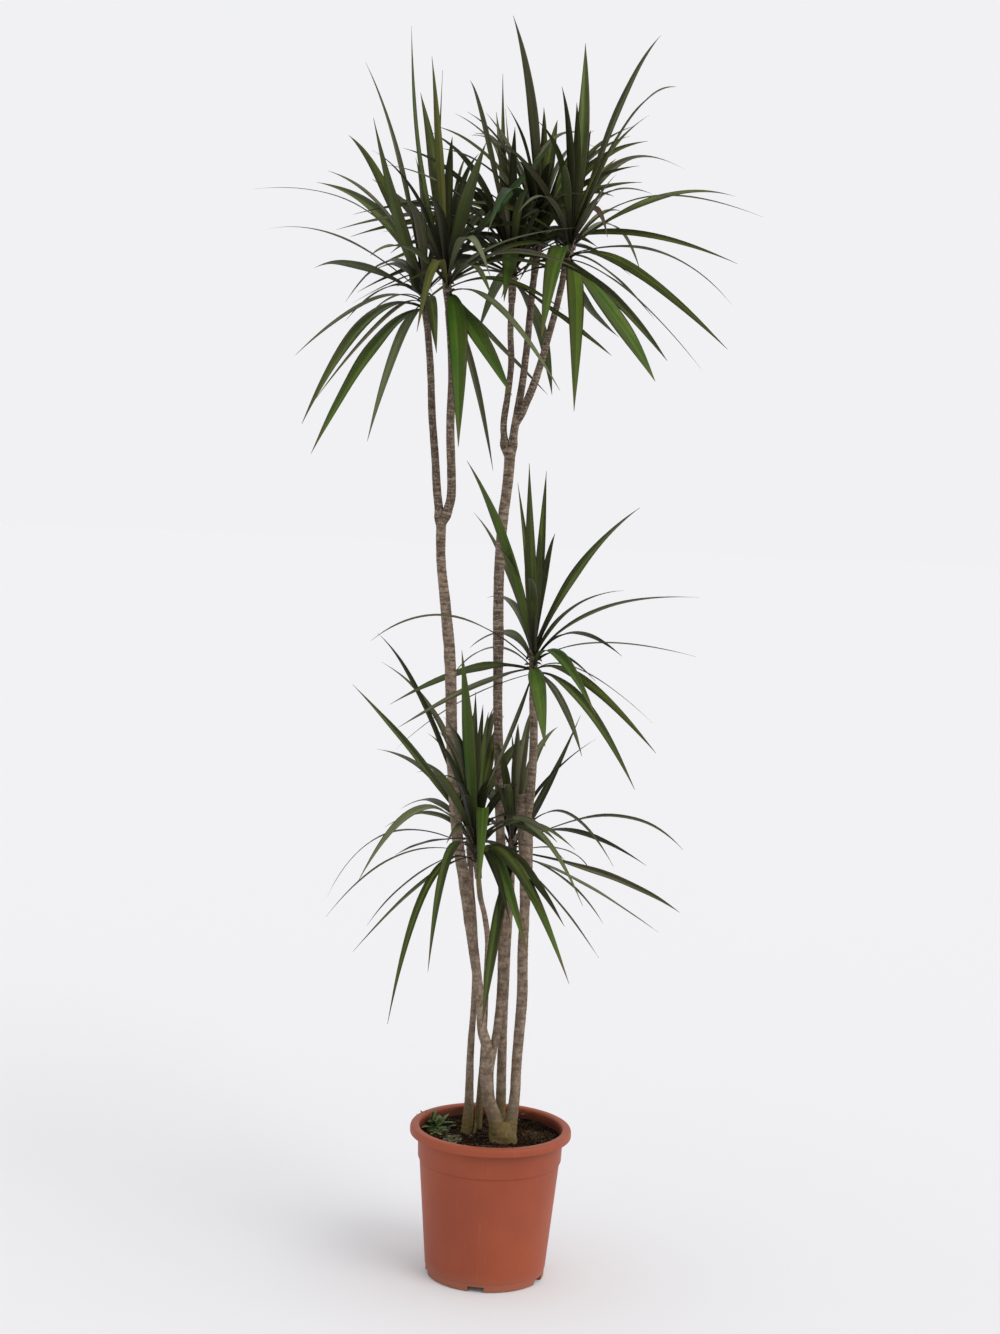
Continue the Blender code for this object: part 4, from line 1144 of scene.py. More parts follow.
    def dusky(self, height: Shape) -> Shape:
        """Painted shadow that the rosette above casts on the tall middle cane, given as its youth: over
        its upper half, but not at its fork.

        Args:
            height: Heights above the floor.

        Returns:
            How strong the painted shadow is there, from 0 to 1.
        """
        foot, full, end = self.shadow_heights
        fade = ease(height, end, end - self.shadow_fade)
        return self.shadow_share * ease(height, foot, full) * fade

    def build(self) -> None:
        """Build and dress every limb and every rosette's shoot."""
        bark = BarkFinish().paint()
        stump = StumpFinish().paint()
        for number, name in enumerate(LIMBS):
            youth = YOUNG.get(name, 0.0)
            gap = blend(youth, self.scar_gap, self.young_gap)
            piece = self.tube(name + "_bark", Line.of_limb(name), number, youth, gap)
            dress(piece, [stump if name == "stump" else bark], (name,))
        for number, (name, (bearer, heart, *_)) in enumerate(ROSETTES.items()):
            line = self.shoot_line(bearer, heart)
            dress(self.tube(name + "_shoot", line, number, 1.0, self.shoot_gap), [bark])

    def shoot_line(self, bearer: str, heart: Place) -> Line:
        """Line of a rosette's shoot: it grows out of its bough's end and tapers to a point.

        Args:
            bearer: The limb that it grows on.
            heart: Place of the heart in centimetres.

        Returns:
            The shoot's line.
        """
        knots, radii = LeafRule().shoot(bearer, heart)
        along = unit(knots[-1] - knots[0])
        start = knots[0] - along * self.shoot_sunk
        tip = knots[-1] + along * self.shoot_tip
        foot = radii[0] * self.shoot_foot
        return Line(
            np.vstack([start, knots, tip]),
            np.array([foot, *radii * self.shoot_share, self.shoot_point]),
        )


@dataclass
class LeafRule:
    """The rule that leaves grow by: the sizes that the plant's solids use."""

    root_spread: float = 25 * MM
    root_offset: float = 3 * MM
    root_width_share: float = 0.36
    widest_at: float = 0.4
    tip_sharpness: float = 1.7
    thickness_share: float = 0.012
    clearance: float = 0.6 * MM
    turn_to_light: float = math.radians(32)
    twist_limit: float = math.radians(16)
    twist_wander: float = 7.0
    roll_gain: float = 1.5
    golden_angle: float = math.radians(137.5)
    stations: tuple[float, ...] = (0.0, 0.15, 0.34, 0.57, 0.80)
    depth_nudges: tuple[float, ...] = (
        0.0, 0.07, -0.07, 0.14, -0.14, 0.22, -0.22, 0.32, -0.32, 0.45, -0.45,
    )
    turn_nudges: tuple[int, ...] = (0, 6, -6, 12, -12, 18, -18)
    fill_steepest: float = math.radians(76)
    fill_lowest: float = math.radians(-16)
    fill_shortest: float = 19 * CM
    fill_longest: float = 30 * CM
    fill_arch: float = 8 * CM
    slope_play: float = 0.1
    fill_bend: float = 0.35
    fill_widths: Span = (13 * MM, 20 * MM)
    slim_from: float = 0.75
    dense_spread: float = math.radians(60)
    deal: tuple[Tone, ...] = (DEEP, DUSKY, OLIVE, MIDDLE, DUSKY, OLIVE, DEEP, OLIVE, DUSKY, DEEP)
    # Tones for the dense middle rosettes: mostly the darkest ones, as painted shade of the crown's thick
    # core.
    shaded_deal: tuple[Tone, ...] = (
        DEEP, DUSKY, DUSKY, DEEP, DUSKY, DEEP, DUSKY, DUSKY, OLIVE, DEEP,
    )
    youngest_length: float = 0.15
    youngest_arch: float = 0.4
    shortest_draw: float = 0.85
    age_step: float = 0.618
    age_power: float = 0.8
    shoot_radii: Place = (6.8 * MM * 0.85, 6.8 * MM, 5 * MM)
    shoot_above: float = 30 * MM
    gap: float = 0.3 * MM

    def marked(self, row: tuple, deeper: float) -> Heading:
        """A listed leaf, reaching a little further to the front or the back.

        Args:
            row: The leaf's listed sizes and its tone.
            deeper: Extra share of its reach in depth.

        Returns:
            The leaf's course in metres and radians.
        """
        bearing, reach, rise, bend, lift, width, tone, *asked = row
        across = reach * CM * math.cos(math.radians(bearing))
        away = reach * CM * math.sin(math.radians(bearing)) * (1 + deeper)
        turn = self.turn_to_light * across / (reach * CM)
        twist = turn + self.twist_limit * math.sin(self.twist_wander * bearing + reach)
        if asked:
            twist = math.radians(asked[0]) / self.roll_gain
        return Heading(
            math.atan2(away, across), math.hypot(across, away), rise * CM, bend / 100, lift * CM,
            width * MM, twist, tone,
        )

    def filling(self, number: int, dice: random.Random, spin: float, spread: float) -> Heading:
        """One of the further leaves, younger and steeper with a lower number.

        Args:
            number: How many leaves the rosette has so far.
            dice: Source of its small differences.
            spin: Extra turn of its bearing in degrees.
            spread: How far bearings go from the front or the back, in radians.

        Returns:
            The leaf's course.
        """
        age = ((number * self.age_step) % 1.0) ** self.age_power
        side = math.pi / 2 if number % 2 else -math.pi / 2
        bearing = side + spread * math.sin(number * self.golden_angle) + math.radians(spin)
        play = dice.uniform(-self.slope_play, self.slope_play)
        slope = blend(age, self.fill_steepest, self.fill_lowest) + play
        growth = min(1.0, self.youngest_length + age) * dice.uniform(self.shortest_draw, 1.0)
        length = blend(growth, self.fill_shortest, self.fill_longest)
        rise = length * math.sin(slope)
        lift = rise / 2 + self.fill_arch * blend(age, self.youngest_arch, 1.0)
        width = dice.uniform(*self.fill_widths) * blend(age, self.slim_from, 1.0)
        twist = self.turn_to_light * math.cos(bearing)
        twist += dice.uniform(-self.twist_limit, self.twist_limit)
        # Dense rosettes get the darker tones, as painted shade of the crown's core.
        deal = self.shaded_deal if spread > self.dense_spread else self.deal
        tone = deal[dice.randrange(len(deal))]
        reach = length * math.cos(slope)
        return Heading(bearing, reach, rise, self.fill_bend, lift, width, twist, tone)

    def width_share(self, t: Shape) -> Shape:
        """A leaf's width at a share of its length, as a share of its greatest.

        It swells from the root by a quarter sine to its widest place, then falls by a power of
        the share that is left.

        Args:
            t: Share of the length.

        Returns:
            The width's share.
        """
        rising = np.sin(math.pi / 2 * np.minimum(1.0, t / self.widest_at))
        left = np.maximum(0.0, t - self.widest_at) / (1 - self.widest_at)
        return blend(rising, self.root_width_share, 1.0) * (1 - left ** self.tip_sharpness)

    def line(self, leaf: Heading, heart: Shape, along: Shape) -> tuple[Shape, Shape, Shape]:
        """Root, bend and tip of a leaf's arch.

        Args:
            leaf: The leaf's course.
            heart: Place of its rosette's heart.
            along: Direction of its shoot.

        Returns:
            The three places.
        """
        outward = compass(leaf.bearing)[0]
        steepness = leaf.rise / math.hypot(leaf.reach, leaf.rise)
        root = heart + along * (self.root_spread * steepness) + outward * self.root_offset
        tip = heart + outward * leaf.reach + UP * leaf.rise
        return root, root + outward * (leaf.reach * leaf.bend) + UP * leaf.lift, tip

    def solid(self, leaf: Heading, heart: Shape, along: Shape, extra: float) -> BVHTree:
        """Search tree of the plain keeled leaf that the solids use, thicker by extra.

        Args:
            leaf: The leaf's course.
            heart: Place of its rosette's heart.
            along: Direction of its shoot.
            extra: Added thickness and width on each side.

        Returns:
            A search tree of its faces.
        """
        line = self.line(leaf, heart, along)
        t = np.array(self.stations)[:, None]
        middle = arch(t, *line)
        side, normal = blade_frame(course(t, *line), compass(leaf.bearing)[1], leaf.twist * t)
        half = leaf.width * self.width_share(t) / 2 + extra
        length = math.hypot(leaf.reach, leaf.rise)
        keel = middle - normal * (self.thickness_share * length * (1 - t ** 3) + extra)
        upper = middle + normal * extra
        corners = np.stack([upper + side * half, upper - side * half, keel], axis=1).reshape(-1, 3)
        last = len(corners)
        corners = np.vstack([corners, line[2] + unit(line[2] - line[1]) * extra])
        faces = [(0, 2, 1)]
        for start, corner in product(range(0, last - 3, 3), range(3)):
            here = start + corner
            follow = start + (corner + 1) % 3
            faces += [(here, follow, here + 3), (here + 3, follow, follow + 3)]
        faces += [(last - 3 + corner, last - 3 + (corner + 1) % 3, last) for corner in range(3)]
        return BVHTree.FromPolygons(corners.tolist(), faces)

    def shoot(self, bearer: str, heart: Place) -> tuple[Shape, Shape]:
        """The short shoot that holds a rosette: three places and the radii there.

        Args:
            bearer: The limb that it grows on.
            heart: Place of the heart in centimetres.

        Returns:
            The places and the radii.
        """
        limb = Line.of_limb(bearer)
        end = limb.knots[-1]
        along = unit(end - limb.along(2 * MM)[0][-2])
        base = end + along * self.gap
        top = np.array(heart) * CM + along * self.shoot_above
        return np.stack([base, (base + top) / 2, top]), np.array(self.shoot_radii)


def tree_of_object(thing: Thing) -> BVHTree:
    """Search tree of an object's faces.

    Args:
        thing: A mesh object.

    Returns:
        The search tree.
    """
    corners = [tuple(corner.co) for corner in thing.data.vertices]
    faces = [tuple(face.vertices) for face in thing.data.polygons]
    return BVHTree.FromPolygons(corners, faces)


class Crown:
    """The leaves of every rosette, kept clear of the limbs and, unless pressed, of each other's."""

    def __init__(self, rule: LeafRule) -> None:
        """Find the rosettes' hearts, and the limbs that leaves grown by a rule keep clear of.

        Args:
            rule: The rule that leaves grow by.
        """
        self.rule = rule
        self.limb_trees = [tree_of_object(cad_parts[name]) for name in LIMBS]
        self.solid_trees: dict[str, list[BVHTree]] = {name: [] for name in ROSETTES}
        self.leaves: dict[str, list[Heading]] = {name: [] for name in ROSETTES}
        self.axes: dict[str, tuple[Shape, Shape]] = {}
        for name, (bearer, heart, *_) in ROSETTES.items():
            knots, _ = rule.shoot(bearer, heart)
            self.axes[name] = (np.array(heart) * CM, unit(knots[-1] - knots[0]))

    def is_clear(self, name: str, leaf: Heading, pressed: bool) -> bool:
        """Whether a leaf stays clear of the limbs and, unless pressed, of the other rosettes.

        Args:
            name: Its rosette's name.
            leaf: The leaf's course.
            pressed: Whether it may touch the leaves of other rosettes.

        Returns:
            Whether it is clear.
        """
        tree = self.rule.solid(leaf, *self.axes[name], self.rule.clearance)
        if any(tree.overlap(limb) for limb in self.limb_trees):
            return False
        if pressed:
            return True
        others = [trees for other, trees in self.solid_trees.items() if other != name]
        return not any(tree.overlap(solid) for trees in others for solid in trees)

    def place(self, name: str, choices: list[Heading], pressed: bool = False) -> None:
        """Keep the first of some choices that is clear; skip the leaf when none is.

        Args:
            name: The rosette's name.
            choices: Courses for the leaf, the best one first.
            pressed: Whether it may touch the leaves of other rosettes.
        """
        for leaf in choices:
            if self.is_clear(name, leaf, pressed):
                self.solid_trees[name].append(self.rule.solid(leaf, *self.axes[name], 0.0))
                self.leaves[name].append(leaf)
                return

    def place_listed(self, table: dict[str, list[tuple]], pressed: bool) -> None:
        """Place every listed leaf, at the first depth where it is clear.

        Args:
            table: Each rosette's listed leaves.
            pressed: Whether they may touch the leaves of other rosettes.
        """
        for name, rows in table.items():
            for row in rows:
                nudges = self.rule.depth_nudges
                self.place(name, [self.rule.marked(row, deeper) for deeper in nudges], pressed)

    def grow(self, seed: int = 11) -> None:
        """Place the listed leaves, then further ones up to each rosette's number, then pressed ones.

        Args:
            seed: Number that the further leaves' differences are drawn from.
        """
        self.place_listed({name: rows for name, (*_, rows) in ROSETTES.items()}, False)
        dice = random.Random(seed)
        for number in range(max(each for _, _, each, *_ in ROSETTES.values())):
            for name, (_, _, each, spread, _) in ROSETTES.items():
                if len(self.leaves[name]) < each:
                    draw = dice.random()
                    self.place(name, [
                        self.rule.filling(number, random.Random(draw), spin, math.radians(spread))
                        for spin in self.rule.turn_nudges
                    ])
        self.place_listed(PRESSED, True)


@dataclass
class Foliage:
    """The leaves as blades: strap-shaped, channelled along the middle, thin at their margins."""

    rule: LeafRule = field(default_factory=LeafRule)
    stations: int = 22
    station_power: float = 0.92
    columns: int = 7
    thickness: float = 0.75 * MM
    edge_thickness: float = 0.22 * MM
    keel: float = 0.5 * MM
    keel_width: float = 0.12
    root_fold: float = 0.80
    blade_fold: float = 0.20
    folded_to: float = 0.3
    fold_power: float = 1.25
    wave: float = 0.9 * MM
    wave_counts: Span = (1.5, 3.2)
    sway: float = 0.018
    tip_width: float = 0.25 * MM
    root_shares: Span = (0.28, 0.66)
    clasp_slopes: Span = (math.radians(5), math.radians(65))
    swells_from: float = 0.02
    widest_at: float = 0.46
    tip_powers: Span = (2.0, 1.3)
    tip_slopes: Span = (math.radians(-35), math.radians(40))
    roll_by: float = 0.45
    stub_count: int = 18
    stub_slopes: Span = (-0.4, 1.2)
    stub_lengths: Span = (8 * MM, 15 * MM)
    stub_widths: Span = (3 * MM, 6 * MM)
    stub_bend: float = 0.5
    stub_lift: float = 5 * MM
    stub_twist: float = 1.0
    stub_seed: int = 500
    blade_seed: int = 100

    def blades(self, leaves: list[Heading], heart: Shape, along: Shape, seed: int) -> tuple:
        """Rings of corners for all the leaves of a rosette.

        The middle line is the arch of root, bend and tip, swayed sideways by half a sine wave.
        Each section is a shallow channel: its height is the fold times a power of the distance
        from the middle, plus a small wave near the margins. The underside lies below it by the
        thickness, with a keel at the middle.

        Args:
            leaves: The leaves' courses.
            heart: Place of the rosette's heart.
            along: Direction of its shoot.
            seed: Number that the small differences are drawn from.

        Returns:
            Rings, their map, and the mark that is 1 on the underside.
        """
        draw = np.random.default_rng(seed)
        arches = np.array([self.rule.line(leaf, heart, along) for leaf in leaves])
        line = np.moveaxis(arches, 1, 0)[:, :, None]
        listed = [(leaf.bearing, leaf.width, leaf.twist, leaf.reach, leaf.rise) for leaf in leaves]
        bearing, width, twist, reach, rise = np.array(listed).T[..., None]
        t = np.linspace(0, 1, self.stations) ** self.station_power
        share = t[:, None]
        across = compass(bearing)[1]
        swing = draw.uniform(-self.sway, self.sway, (len(leaves), 1)) * np.hypot(reach, rise)
        middle = arch(share, *line) + across * (swing * np.sin(math.pi * t))[..., None]
        roll = twist[..., None] * self.rule.roll_gain * ease(share, 0.0, self.roll_by)
        side, normal = blade_frame(course(share, *line), across, roll)
        width_share = self.width_share(t, np.arctan2(rise, reach))
        half = np.maximum(width * width_share / 2, self.tip_width)[..., None]
        top = np.linspace(1, -1, self.columns)
        over = np.append(top, -top[1:-1])
        under = np.repeat([0.0, 1.0], [self.columns, self.columns - 2])
        fold = blend(ease(share, 0.0, self.folded_to), self.root_fold, self.blade_fold)
        ripple = draw.uniform(0, TAU, (len(leaves), 1, 2))
        count = draw.uniform(*self.wave_counts, (len(leaves), 1, 1))
        edges = np.sin(TAU * count * share + ripple)
        lift = np.where(over > 0, edges[..., :1], edges[..., 1:]) * over ** 2 * self.wave
        slim = half / np.max(half)
        body = blend(1 - over ** 2, self.edge_thickness, self.thickness)
        keel = self.keel * bell(over, 0.0, self.keel_width) * (1 - share)
        height = fold * half * np.abs(over) ** self.fold_power + lift * slim
        height = height - under * (body + keel) * np.minimum(1.0, slim * 3)
        rings = (
            middle[:, :, None]
            + side[:, :, None] * (half * over)[..., None]
            + normal[:, :, None] * height[..., None]
        )
        u = np.append(over + 1, over[0] + 1) / 2
        chart = np.stack(np.broadcast_arrays(u, share + 0 * width[..., None]), -1)
        return rings, chart, np.broadcast_to(under, rings.shape[:3])

    def width_share(self, t: Shape, climb: Shape) -> Shape:
        """A blade's width at a share of its length, as a share of its greatest.

        A drooping leaf is narrow like a stalk at its root, and a steep one clasps the shoot with
        a broad base. The width eases to its greatest, then falls by a power of the share left;
        a drooping leaf stays broad for longer.

        Args:
            t: Share of the length.
            climb: Slope of each leaf in radians.

        Returns:
            The width's share.
        """
        root = blend(ease(climb, *self.clasp_slopes), *self.root_shares)
        swell = blend(ease(t, self.swells_from, self.widest_at), root, 1.0)
        left = np.maximum(0.0, t - self.widest_at) / (1 - self.widest_at)
        return swell * (1 - left ** blend(ease(climb, *self.tip_slopes), *self.tip_powers))

    def rosette(self, name: str, leaves: list[Heading], axes: tuple, number: int) -> Thing:
        """Build one rosette's blades and withered stubs, as one mesh.

        Args:
            name: The rosette's name.
            leaves: Its leaves' courses.
            axes: Its heart and the direction of its shoot.
            number: Its place in the list.

        Returns:
            The mesh object.
        """
        grown = leaves + self.stubs(number)
        rings, chart, below = self.blades(grown, *axes, seed=self.blade_seed + number)
        each = np.linspace(0, 1, len(grown))[:, None, None]
        marks = {"below": below, "leaf": np.broadcast_to(each + number, rings.shape[:3])}
        kinds = np.array([leaf.tone.value for leaf in grown])
        return skin(name + "_blades", rings, chart, marks, kinds)

    def stubs(self, number: int) -> list[Heading]:
        """Withered bases of dropped leaves, which stand round the shoot from its foot upwards.

        Args:
            number: The rosette's place in the list.

        Returns:
            Their courses.
        """
        dice = random.Random(self.stub_seed + number)
        made = []
        for place in range(self.stub_count):
            slope = blend(place / self.stub_count, *self.stub_slopes)
            length = dice.uniform(*self.stub_lengths)
            made.append(Heading(
                place * self.rule.golden_angle, length * math.cos(slope), length * math.sin(slope),
                self.stub_bend, self.stub_lift, dice.uniform(*self.stub_widths),
                dice.uniform(-self.stub_twist, self.stub_twist), WITHERED if place % 3 else DEEP,
            ))
        return made

    def build(self) -> None:
        """Grow the crown and build every rosette."""
        crown = Crown(self.rule)
        crown.grow()
        paints = [LEAF_FINISHES[tone].paint("leaf_" + tone.name.lower()) for tone in Tone]
        for number, (name, leaves) in enumerate(crown.leaves.items()):
            piece = self.rosette(name, leaves, crown.axes[name], number)
            dress(piece, paints, (name,))


@dataclass
class Pot:
    """The nursery pot: rolled rim, collar, shallow step, tapering wall and notched foot."""

    rim_radius: float = 120 * MM
    rim_top: float = 224.7 * MM
    rim_band: float = 12 * MM
    wall: float = 2.2 * MM
    collar_top: float = 108.5 * MM
    collar_low: float = 106.6 * MM
    step_height: float = 175 * MM
    step_half: float = 1.7 * MM
    body_top: float = 104.3 * MM
    foot: float = 88.6 * MM
    floor: float = 3 * MM
    pad: float = 32 * MM
    channel: float = 9 * MM
    channel_outer: float = 71 * MM
    channel_inner: float = 36 * MM
    axis_gap: float = 0.3 * MM
    sides: int = 180
    corner: float = 1.6 * MM
    corner_share: float = 0.42
    notch_count: int = 5
    notch_width: float = 24 * MM
    notch_height: float = 8.5 * MM
    notch_depth: float = 46 * MM
    notch_turn: float = math.radians(-98)
    sharp_from: float = math.radians(40)

    def inner_radius(self, height: float) -> float:
        """The pot's inner radius at a height: straight in the body and straight in the collar.

        Args:
            height: Height above the floor.

        Returns:
            The radius.
        """
        if height >= self.step_height:
            share = (height - self.step_height) / (self.rim_top - self.step_height)
            return blend(share, self.collar_low, self.collar_top) - self.wall
        return blend(height / self.step_height, self.foot, self.body_top) - self.wall

    def profile(self) -> Shape:
        """Radius and height round the pot's section, from under its floor outwards and over.

        Returns:
            The section's places, with rounded corners.
        """
        rim, top, foot, body = self.rim_radius, self.rim_top, self.foot, self.body_top
        lip = top - self.rim_band
        under = top - self.wall
        band = rim - self.wall
        deep = self.channel + self.floor
        step = self.step_height
        high = step + self.step_half
        low = step - self.step_half
        mouth = self.inner_radius(top)
        return self.rounded(np.array([
            (self.axis_gap, 0.0), (self.pad, 0.0), (self.channel_inner, self.channel),
            (self.channel_outer, self.channel), (self.channel_outer + 4 * MM, 0.0),
            (foot - 3 * MM, 0.0), (foot - 0.2 * MM, 1.2 * MM),
            (foot + 0.4 * MM, 12.5 * MM), (foot + 1.35 * MM, 14 * MM),
            (body - 0.1 * MM, step - 2.4 * MM), (body - 0.5 * MM, step - 1.3 * MM),
            (self.collar_low, step + 0.9 * MM), (self.collar_top, under),
            (band - 1 * MM, under), (band, under - 1 * MM), (band, lip), (rim, lip),
            (rim, top - 4.5 * MM), (rim - 1.2 * MM, top - 1.2 * MM), (rim - 4.5 * MM, top),
            (mouth + 2 * MM, top), (mouth - 0.4 * MM, top - 3 * MM),
            (self.inner_radius(high), high), (self.inner_radius(low), low),
            (self.inner_radius(self.floor) - 2 * MM, self.floor),
            (self.channel_outer + 5.5 * MM, self.floor), (self.channel_outer + 1.5 * MM, deep),
            (self.pad + 1.5 * MM, deep), (self.pad - 2 * MM, self.floor),
            (self.axis_gap, self.floor),
        ]))

    def rounded(self, line: Shape, parts: int = 4) -> Shape:
        """Round each corner by a parabola that leaves both sides at the corner size or less.

        Args:
            line: The section with its sharp corners.
            parts: How many places each corner gets.

        Returns:
            The rounded section.
        """
        inner = line[1:-1]
        back, ahead = line[:-2] - inner, line[2:] - inner
        start, end = (
            inner + unit(way) * np.minimum(
                self.corner, self.corner_share * np.linalg.norm(way, axis=1)
            )[:, None]
            for way in (back, ahead)
        )
        t = np.linspace(0, 1, parts)[:, None]
        arcs = arch(t, start[:, None], inner[:, None], end[:, None])
        return np.vstack([line[:1], arcs.reshape(-1, 2), line[-1:]])

    def notches(self) -> Thing:
        """Boxes round the foot, each as wide, deep and high as a drain notch.

        Returns:
            The boxes, as one mesh object.
        """
        turn = self.notch_turn + TAU / self.notch_count * np.arange(self.notch_count)
        out, aside = (way[:, None, None] for way in compass(turn))
        depth = self.notch_depth / 2 * np.array([-1, 1, 1, -1])[:, None]
        width = self.notch_width / 2 * np.array([-1, -1, 1, 1])[:, None]
        height = self.notch_height * np.array([-1, 1])[:, None, None]
        return skin("notches", out * (self.foot + depth) + aside * width + UP * height)

    def build(self) -> None:
        """Build the pot and cut its notches."""
        shell = skin("pot_shell", revolve(self.profile(), self.sides)[None])
        cutter = self.notches()
        cut = shell.modifiers.new("Notches", "BOOLEAN")
        cut.object = cutter
        cut.operation = "DIFFERENCE"
        cut.solver = "EXACT"
        graph = bpy.context.evaluated_depsgraph_get()
        made = bpy.data.meshes.new_from_object(shell.evaluated_get(graph))
        shell.modifiers.clear()
        shell.data = made
        bpy.data.objects.remove(cutter, do_unlink=True)
        shell.data.set_sharp_from_angle(angle=self.sharp_from)
        dress(shell, [PotFinish().paint()], ("pot",))


# What is strewn on the soil: its finish, then the piece's name, how many lumps, their radii, their
# flatness, the seed, and at times the radius and the middle of the strewn area.
STREWN: tuple[tuple, ...] = (
    (SoilFinish("soil_crumb", (0.007, 0.004, 0.002), (0.135, 0.072, 0.036)),
     "soil_crumbs", 3000, (0.6 * MM, 2.6 * MM), 0.8, 31),
    (SoilFinish("bark_chip", (0.014, 0.007, 0.005), (0.075, 0.036, 0.020), 0.85),
     "bark_chips", 40, (2 * MM, 4.5 * MM), 0.4, 41),
    (SoilFinish("pale_speck", (0.20, 0.17, 0.13), (0.45, 0.41, 0.34), 0.8),
     "pale_specks", 110, (0.5 * MM, 1.5 * MM), 0.8, 51),
    (SoilFinish("dry_litter", (0.060, 0.036, 0.016), (0.240, 0.165, 0.085), 0.9),
     "soil_litter", 260, (0.6 * MM, 1.8 * MM), 0.7, 71, 24 * MM, (0.070, 0.026)),
)

# Tufts of weed: name, centre, how many leaves, their lengths, width and slopes, and the seed.
TUFTS: tuple[tuple, ...] = (
    ("weed_tall", (-0.084, 0.044), 48, (15 * MM, 38 * MM), 10 * MM, (0.35, 1.3), 61),
    ("weed_low", (-0.082, 0.028), 46, (10 * MM, 22 * MM), 9 * MM, (0.15, 0.75), 62),
)

# Patches of moss, listed as what is strewn.
MOSS: tuple[tuple, ...] = (
    ("moss_rim", 160, (1.2 * MM, 3 * MM), 0.55, 63, 17 * MM, (-0.078, 0.036)),
    ("moss_front", 150, (1.2 * MM, 3.4 * MM), 0.6, 64, 14 * MM, (-0.056, -0.012)),
)


@dataclass
class Soil:
    """Potting soil: an uneven top with crumbs, fibres, chips and dry litter on it."""

    pot: Pot = field(default_factory=Pot)
    top: float = 203 * MM
    clear: float = 0.35 * MM
    sides: int = 200
    rings: int = 84
    middle_share: float = 0.0035
    relief: float = 3.4 * MM
    # Each size of bump: its share of the relief, its width, and the shift of its pattern.
    bumps: tuple[Place, ...] = ((0.55, 26 * MM, 0), (0.30, 9 * MM, 1), (0.20, 3.2 * MM, 2))
    mound: float = 2.5 * MM
    mound_place: Span = (10 * MM, 5 * MM)
    mound_spread: float = 45 * MM
    wall_rise: float = 5 * MM
    wall_span: Span = (92 * MM, 106 * MM)
    levels: tuple[float, ...] = (-0.92, -0.45, 0.2, 0.75, 0.97)
    lump_sides: int = 6
    size_power: float = 2.2
    jolt: float = 0.28
    stretches: Span = (0.6, 1.35)
    tip: float = 0.6
    fibre_reach: float = 97 * MM
    fibre_limit: float = 100 * MM
    fibre_lengths: Span = (7 * MM, 26 * MM)
    fibre_bow: float = 0.35
    fibre_humps: Span = (0.4 * MM, 3.2 * MM)
    fibre_end_hump: float = 0.35
    fibre_radii: Span = (0.22 * MM, 0.42 * MM)
    fibre_sides: int = 4
    lumps: Lumps = field(default_factory=lambda: Lumps(8))

    def laid(self, x: Shape, y: Shape) -> Shape:
        """Places on the soil's top: three sizes of lumps, a rise round the stump and at the wall.

        Args:
            x: Places across.
            y: Places in depth.

        Returns:
            The places, with their heights above the floor.
        """
        spot = np.stack([x, y, 0 * x], -1)
        bumps = sum(share * self.lumps.at(spot + shift, size) for share, size, shift in self.bumps)
        off = (x - self.mound_place[0]) ** 2 + (y - self.mound_place[1]) ** 2
        mound = self.mound * np.exp(-off / (2 * self.mound_spread ** 2))
        wall = self.wall_rise * ease(np.hypot(x, y), *self.wall_span)
        return np.stack([x, y, self.top + self.relief * bumps + mound + wall], -1)

    def bed(self) -> Thing:
        """The body of soil: its pot's inside, then rings that shrink to the middle of its top.

        Returns:
            The soil's mesh object.
        """
        pot = self.pot
        base = pot.floor + self.clear
        deep = pot.channel + base
        inside = [
            (pot.inner_radius(height) - self.clear, height)
            for height in (deep, pot.step_height - pot.step_half, pot.step_height + pot.step_half)
        ]
        cup = pot.pad - 2 * MM - self.clear
        low = np.array([(pot.axis_gap, base), (cup, base), (pot.pad + 1 * MM, deep), *inside])
        edge = pot.inner_radius(self.top) - self.clear
        radius = edge * np.linspace(1, self.middle_share, self.rings)[:, None]
        flat = revolve(np.hstack([radius, 0 * radius]), self.sides)
        above = self.laid(flat[..., 0], flat[..., 1])
        return skin("soil_bed", np.concatenate([revolve(low, self.sides), above])[None])

    def scatter(
        self, draw: np.random.Generator, count: int, reach: float = 101 * MM, centre: Span = (0, 0)
    ) -> Shape:
        """Random places on the soil's top, even over a round area.

        Args:
            draw: Source of the places.
            count: How many.
            reach: Radius of the area.
            centre: Middle of the area.

        Returns:
            The places.
        """
        radius = reach * np.sqrt(draw.uniform(0, 1, count))
        angle = draw.uniform(0, TAU, count)
        return self.laid(centre[0] + radius * np.cos(angle), centre[1] + radius * np.sin(angle))

    def pebbles(
        self, name: str, count: int, sizes: Span, flat: float, seed: int, *area: float | Span
    ) -> Thing:
        """Small rough lumps strewn on the soil: squashed six-sided balls with jolted corners.

        Args:
            name: The piece's name.
            count: How many lumps.
            sizes: Smallest and largest radius.
            flat: Height of a lump as a share of its width.
            seed: Number that places and shapes are drawn from.
            area: Radius and middle of the strewn area, if it isn't the whole top.

        Returns:
            The lumps, as one mesh object.
        """
        draw = np.random.default_rng(seed)
        places = self.scatter(draw, count, *area)
        size = blend(draw.uniform(0, 1, (count, 1, 1, 1)) ** self.size_power, *sizes)
        levels = np.array(self.levels)
        ball = revolve(np.column_stack([np.sqrt(1 - levels ** 2), levels * flat]), self.lump_sides)
        jolt = 1 + draw.uniform(-self.jolt, self.jolt, (count, *ball.shape[:2], 1))
        stretch = draw.uniform(*self.stretches, (count, 1, 1, 3))
        return skin(name, self.turned(ball * jolt * stretch, draw) * size + places[:, None, None])

